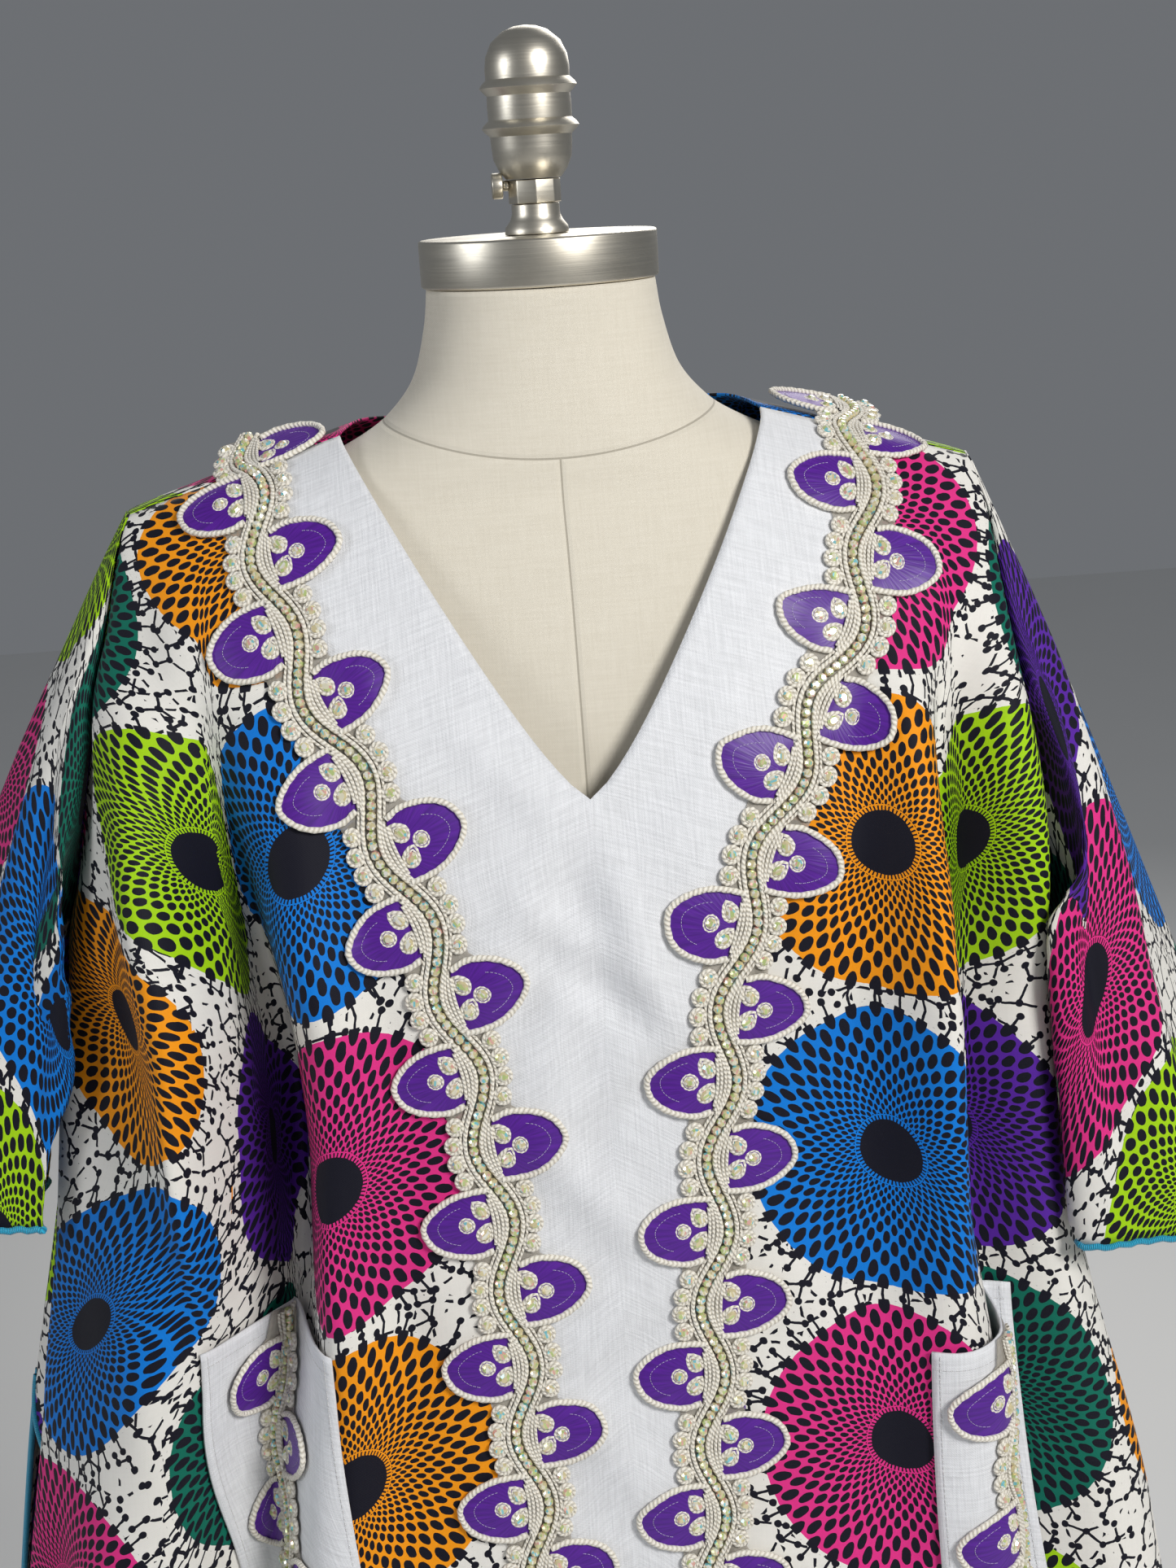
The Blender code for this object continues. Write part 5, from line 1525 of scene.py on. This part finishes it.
def pocket(shape, white, thread, finishes):
    """Patch pocket with a stitched edge and a length of trim."""
    rows = np.linspace(shape.top_row, shape.bottom_row, POCKET_ROWS)
    shares = np.linspace(shape.first, shape.last, POCKET_COLUMNS)
    if shape.side < 0:
        shares = shares[::-1]
    places = panel_share_place(shape.side, shares[None], rows[:, None])
    across = np.linspace(0.0, 1.0, POCKET_COLUMNS)[None]
    down = np.linspace(0.0, 1.0, POCKET_ROWS)[:, None]
    gape = POCKET_GAPE * np.sin(np.pi * across) * np.maximum(1.0 - down * POCKET_GAPE_FADE, 0.0)
    normals = slopes("front", places, rows[:, None] * np.ones_like(places))[2]
    points = surface("front", places, rows[:, None]) + normals * (POCKET_LIFT + gape)[..., None]
    uv = np.stack((lengths_along(points, 1), lengths_along(points, 0)), axis=-1)
    patch = cloth_sheet(shape.name + "_patch", points, uv, white)
    heap = Heap()
    for path, line_normals in ((points[:, 1], normals[:, 1]), (points[:, -2], normals[:, -2]),
                               (points[-2], normals[-2]), (points[2], normals[2])):
        lengths = path_lengths(path)
        for spot in np.arange(SEWN_FROM_START, lengths[-1] - SEWN_FROM_END, SEWN_PITCH):
            places = (spot, spot + SEWN_LENGTH)
            ends = np.stack([np.interp(places, lengths, axis) for axis in path.T], axis=-1)
            tube(heap, ends + line_normals[:2] * SEWN_UP, line_normals[:2], SEWN_RADIUS, 4)
    seams = heap.made(shape.name + "_stitching", thread)
    finish_piece(patch, "white_cotton", shape.name)
    finish_piece(seams, "white_cotton")
    inset = (rows[-1] - rows[0]) * POCKET_TRIM_INSET
    line_rows = np.linspace(rows[0] + inset, rows[-1] - inset, POCKET_TRIM_ROWS)

    def lift(row):
        down = (row - rows[0]) / (rows[-1] - rows[0])
        gape = POCKET_GAPE * np.maximum(1.0 - down * POCKET_GAPE_FADE, 0.0)
        return POCKET_LIFT + POCKET_TRIM_LIFT + gape

    ribbon = Ribbon(lambda row: panel_share_place(shape.side, shape.trim_share, row), line_rows, lift)
    trim = Trim(ribbon, TRIM_STARTS[shape.trim_name], 0.0).build(shape.trim_name, finishes)


def long_trim(name, side, finishes):
    rows = np.linspace(FIRST_ROW, LAST_ROW, TRIM_ROWS)
    ribbon = Ribbon(lambda row: place_at_x(seam_x(side, row), row), rows,
                    lambda row: np.full_like(row, TRIM_LIFT), TAIL_CURLS[name])
    trim = Trim(ribbon, TRIM_STARTS[name], TRIM_TAILS[name]).build(name, finishes)


def build_dress(finishes):
    printed, white = finishes["print"], finishes["white"]
    centre = white_panel(white)
    panels = {"front_center": centre, "back": back_panel(printed)}
    for side, name in ((-1, "front_left"), (1, "front_right")):
        panels[name] = print_panel(name, side, printed)
    rolls = {"front_left": edge_roll("front_edge_roll", "front", finishes["turquoise"]),
             "back": edge_roll("back_edge_roll", "back", finishes["turquoise"])}
    for name, piece in panels.items():
        finish_piece(piece, "white_cotton" if name == "front_center" else "wax_print_cotton", name)
    for shape in SLEEVES:
        sleeve(shape, printed, finishes["turquoise"])
    for name, side in (("trim_left", -1), ("trim_right", 1)):
        long_trim(name, side, finishes)
    for shape in POCKETS:
        pocket(shape, white, finishes["seam"], finishes)


# The dress form and its stand

def build_torso(finish):
    places = np.arange(TORSO_STEPS * (len(TORSO) - 1) + 1) / TORSO_STEPS
    levels = {name: curve_through(values, places) for name, values in zip(Torso._fields, zip(*TORSO))}
    angles = -2 * np.pi * np.arange(TORSO_COLUMNS) / TORSO_COLUMNS
    half, front, back = (levels[name][:, None] for name in ("half", "front", "back"))
    depth = np.where(np.sin(angles)[None] < 0, front, back)
    x = half * powered(np.cos(angles), TORSO_SQUARENESS)
    y = depth * powered(np.sin(angles), TORSO_SQUARENESS)
    points = np.stack((x, y, np.broadcast_to(levels["z"][:, None], x.shape)), axis=-1)
    numbers = np.arange(len(places) * TORSO_COLUMNS).reshape(len(places), TORSO_COLUMNS)
    faces = corners(np.hstack((numbers, numbers[:, :1])), True).tolist()
    faces.append(numbers[0].tolist())
    faces.append(numbers[-1][::-1].tolist())
    torso = new_object("form_linen", points.reshape(-1, 3).tolist(), faces, None, finish)
    shell = bmesh.new()
    shell.from_mesh(torso.data)
    bmesh.ops.recalc_face_normals(shell, faces=shell.faces)
    shell.to_mesh(torso.data)
    shell.free()
    finish_piece(torso, "cream_linen", "form_torso")


def lathe(name, profile, foot, sides, bevel, finish):
    """Turned piece: a disc that is raised and widened from ring to ring."""
    bpy.ops.object.select_all(action="DESELECT")
    radius, height = profile[0]
    bpy.ops.mesh.primitive_circle_add(vertices=sides, radius=radius, fill_type="NGON",
                                      location=(0, 0, foot + height))
    made = bpy.context.active_object
    made.name = name + "_metal"
    bpy.ops.object.mode_set(mode="EDIT")
    for (r0, h0), (r1, h1) in zip(profile, profile[1:]):
        bpy.ops.mesh.extrude_region_move(TRANSFORM_OT_translate={"value": (0, 0, h1 - h0)})
        scale = r1 / r0
        bpy.ops.transform.resize(value=(scale, scale, 1.0), center_override=(0, 0, foot + h1))
    bpy.ops.mesh.select_all(action="SELECT")
    bpy.ops.mesh.normals_make_consistent(inside=False)
    bpy.ops.object.mode_set(mode="OBJECT")
    bpy.ops.object.transform_apply(location=True, rotation=True, scale=True)
    finish_metal(made, finish, bevel)
    return made


def finish_metal(made, finish, bevel):
    if bevel:
        edge = made.modifiers.new("edge", "BEVEL")
        edge.width = bevel
        edge.segments = 3
        edge.limit_method = "ANGLE"
        edge.angle_limit = math.radians(35)
        bpy.ops.object.modifier_apply(modifier="edge")
    bpy.ops.object.shade_smooth_by_angle(angle=math.radians(38))
    made.data.materials.clear()
    made.data.materials.append(finish)


def build_stand(metal):
    foot = CAP_TOP + SEAM_GAP
    pole_length = TORSO[-1].z - SEAM_GAP - POLE_BOTTOM
    turned = (
        ("neck_cap", ((CAP_HALF, 0.0), (CAP_HALF, CAP_TOP - CAP_BOTTOM)), CAP_BOTTOM, 96, 0.0014),
        ("collar_foot", COLLAR_FOOT, foot, 64, 0.0004),
        ("collar_nut", ((NUT_RADIUS, NUT_LOW), (NUT_RADIUS, NUT_HIGH)), foot, 8, 0.0006),
        ("finial", FINIAL_PROFILE, foot + NUT_HIGH + SEAM_GAP, 64, 0.0),
        ("stand_pole", ((POLE_RADIUS, 0.0), (POLE_RADIUS, pole_length)), POLE_BOTTOM, 48, 0.0006),
        ("stand_base", BASE_PROFILE, 0.0, 96, 0.0010),
    )
    pieces = {row[0]: lathe(*row, metal) for row in turned}
    pieces["collar_screw"] = screw(foot + (NUT_LOW + NUT_HIGH) / 2 + SCREW_ABOVE, metal)
    for name, piece in pieces.items():
        finish_piece(piece, "brushed_nickel", name)


def screw(height, metal):
    """Thumb screw that points left out of the nut."""
    bpy.ops.object.select_all(action="DESELECT")
    tip = -NUT_RADIUS * math.cos(math.pi / 8) - SEAM_GAP
    flat = (0, math.radians(90), 0)
    cylinders = []
    for sides, radius, length, off in SCREW_CYLINDERS:
        bpy.ops.mesh.primitive_cylinder_add(vertices=sides, radius=radius, depth=length,
                                            location=(tip - off, 0, height), rotation=flat)
        cylinders.append(bpy.context.active_object)
    shank, head = cylinders
    shank.select_set(True)
    bpy.ops.object.join()
    head.name = "collar_screw_metal"
    bpy.ops.object.transform_apply(location=True, rotation=True, scale=True)
    finish_metal(head, metal, 0.0007)
    return head


# Floor, light and camera

def build_studio(finish):
    bpy.ops.object.select_all(action="DESELECT")
    bpy.ops.mesh.primitive_plane_add(size=FLOOR_SIZE, location=(0, 0, 0))
    floor = bpy.context.active_object
    floor.name = "studio_floor"
    floor.data.materials.append(finish)
    world = bpy.data.worlds.new("studio_world")
    bpy.context.scene.world = world
    world.use_nodes = True
    sky = world.node_tree.nodes["Background"].inputs
    sky[0].default_value = SKY_COLOUR
    sky[1].default_value = SKY_STRENGTH
    for light in LIGHTS:
        lamp = bpy.data.lights.new(light.name, "AREA")
        lamp.shape = "DISK"
        lamp.size = light.size
        lamp.energy = light.power
        lamp.color = light.colour
        made = bpy.data.objects.new(light.name, lamp)
        made.location = light.place
        aim = Vector(LIGHTS_AIM) - Vector(light.place)
        made.rotation_euler = aim.to_track_quat("-Z", "Y").to_euler()
        bpy.context.collection.objects.link(made)


def build_camera():
    azimuth, down, roll = (math.radians(a) for a in (CAMERA_AZIMUTH, CAMERA_DOWN, CAMERA_ROLL))
    level = Vector((-math.sin(azimuth), math.cos(azimuth), 0.0))
    ahead = level * math.cos(down) + Vector((0, 0, -math.sin(down)))
    right = Vector((math.cos(azimuth), math.sin(azimuth), 0.0))
    up = right.cross(ahead)
    turned_right = right * math.cos(roll) - up * math.sin(roll)
    turned_up = right * math.sin(roll) + up * math.cos(roll)
    lens = bpy.data.cameras.new("camera")
    lens.sensor_fit = "AUTO"
    lens.sensor_width = CAMERA_SENSOR
    lens.lens = CAMERA_LENS
    made = bpy.data.objects.new("camera", lens)
    bpy.context.collection.objects.link(made)
    matrix = Matrix((turned_right, turned_up, -ahead)).transposed().to_4x4()
    matrix.translation = Vector(CAMERA_PLACE)
    made.matrix_world = matrix
    bpy.context.scene.camera = made
    bpy.context.scene.view_settings.view_transform = "Standard"


def main():
    bpy.ops.object.select_all(action="DESELECT")
    build_camera()
    weave = weave_group()
    finishes = {
        "print": wax_print(weave),
        "white": cloth_material("white_cotton", (0.80, 0.81, 0.84), weave, 0.00062, 1.3, 0.13, 0.62,
                                sheen_weight=0.25, sheen_roughness=0.35),
        "net": cloth_material("ivory_net", (0.52, 0.48, 0.41), weave, 0.0011, 0.5, 0.3, 0.7, alpha=0.45),
        "cord": cord_material(),
        "petal": petal_material(),
        "crystal": crystal_material(),
        # Threads below: the darker colour of each is painted shade between its wraps
        "silver": thread_material("silver_thread", (0.34, 0.27, 0.52), (0.62, 0.56, 0.80), 0.001),
        "turquoise": thread_material("turquoise_thread", (0.002, 0.16, 0.30), (0.01, 0.45, 0.70), 0.0009),
        "seam": thread_material("white_thread", (0.55, 0.55, 0.56), (0.86, 0.86, 0.86), 0.001),
    }
    build_dress(finishes)
    build_torso(linen_material(weave))
    build_stand(nickel_material())
    build_studio(pale_material("pale_floor", (0.78, 0.78, 0.77)))


main()
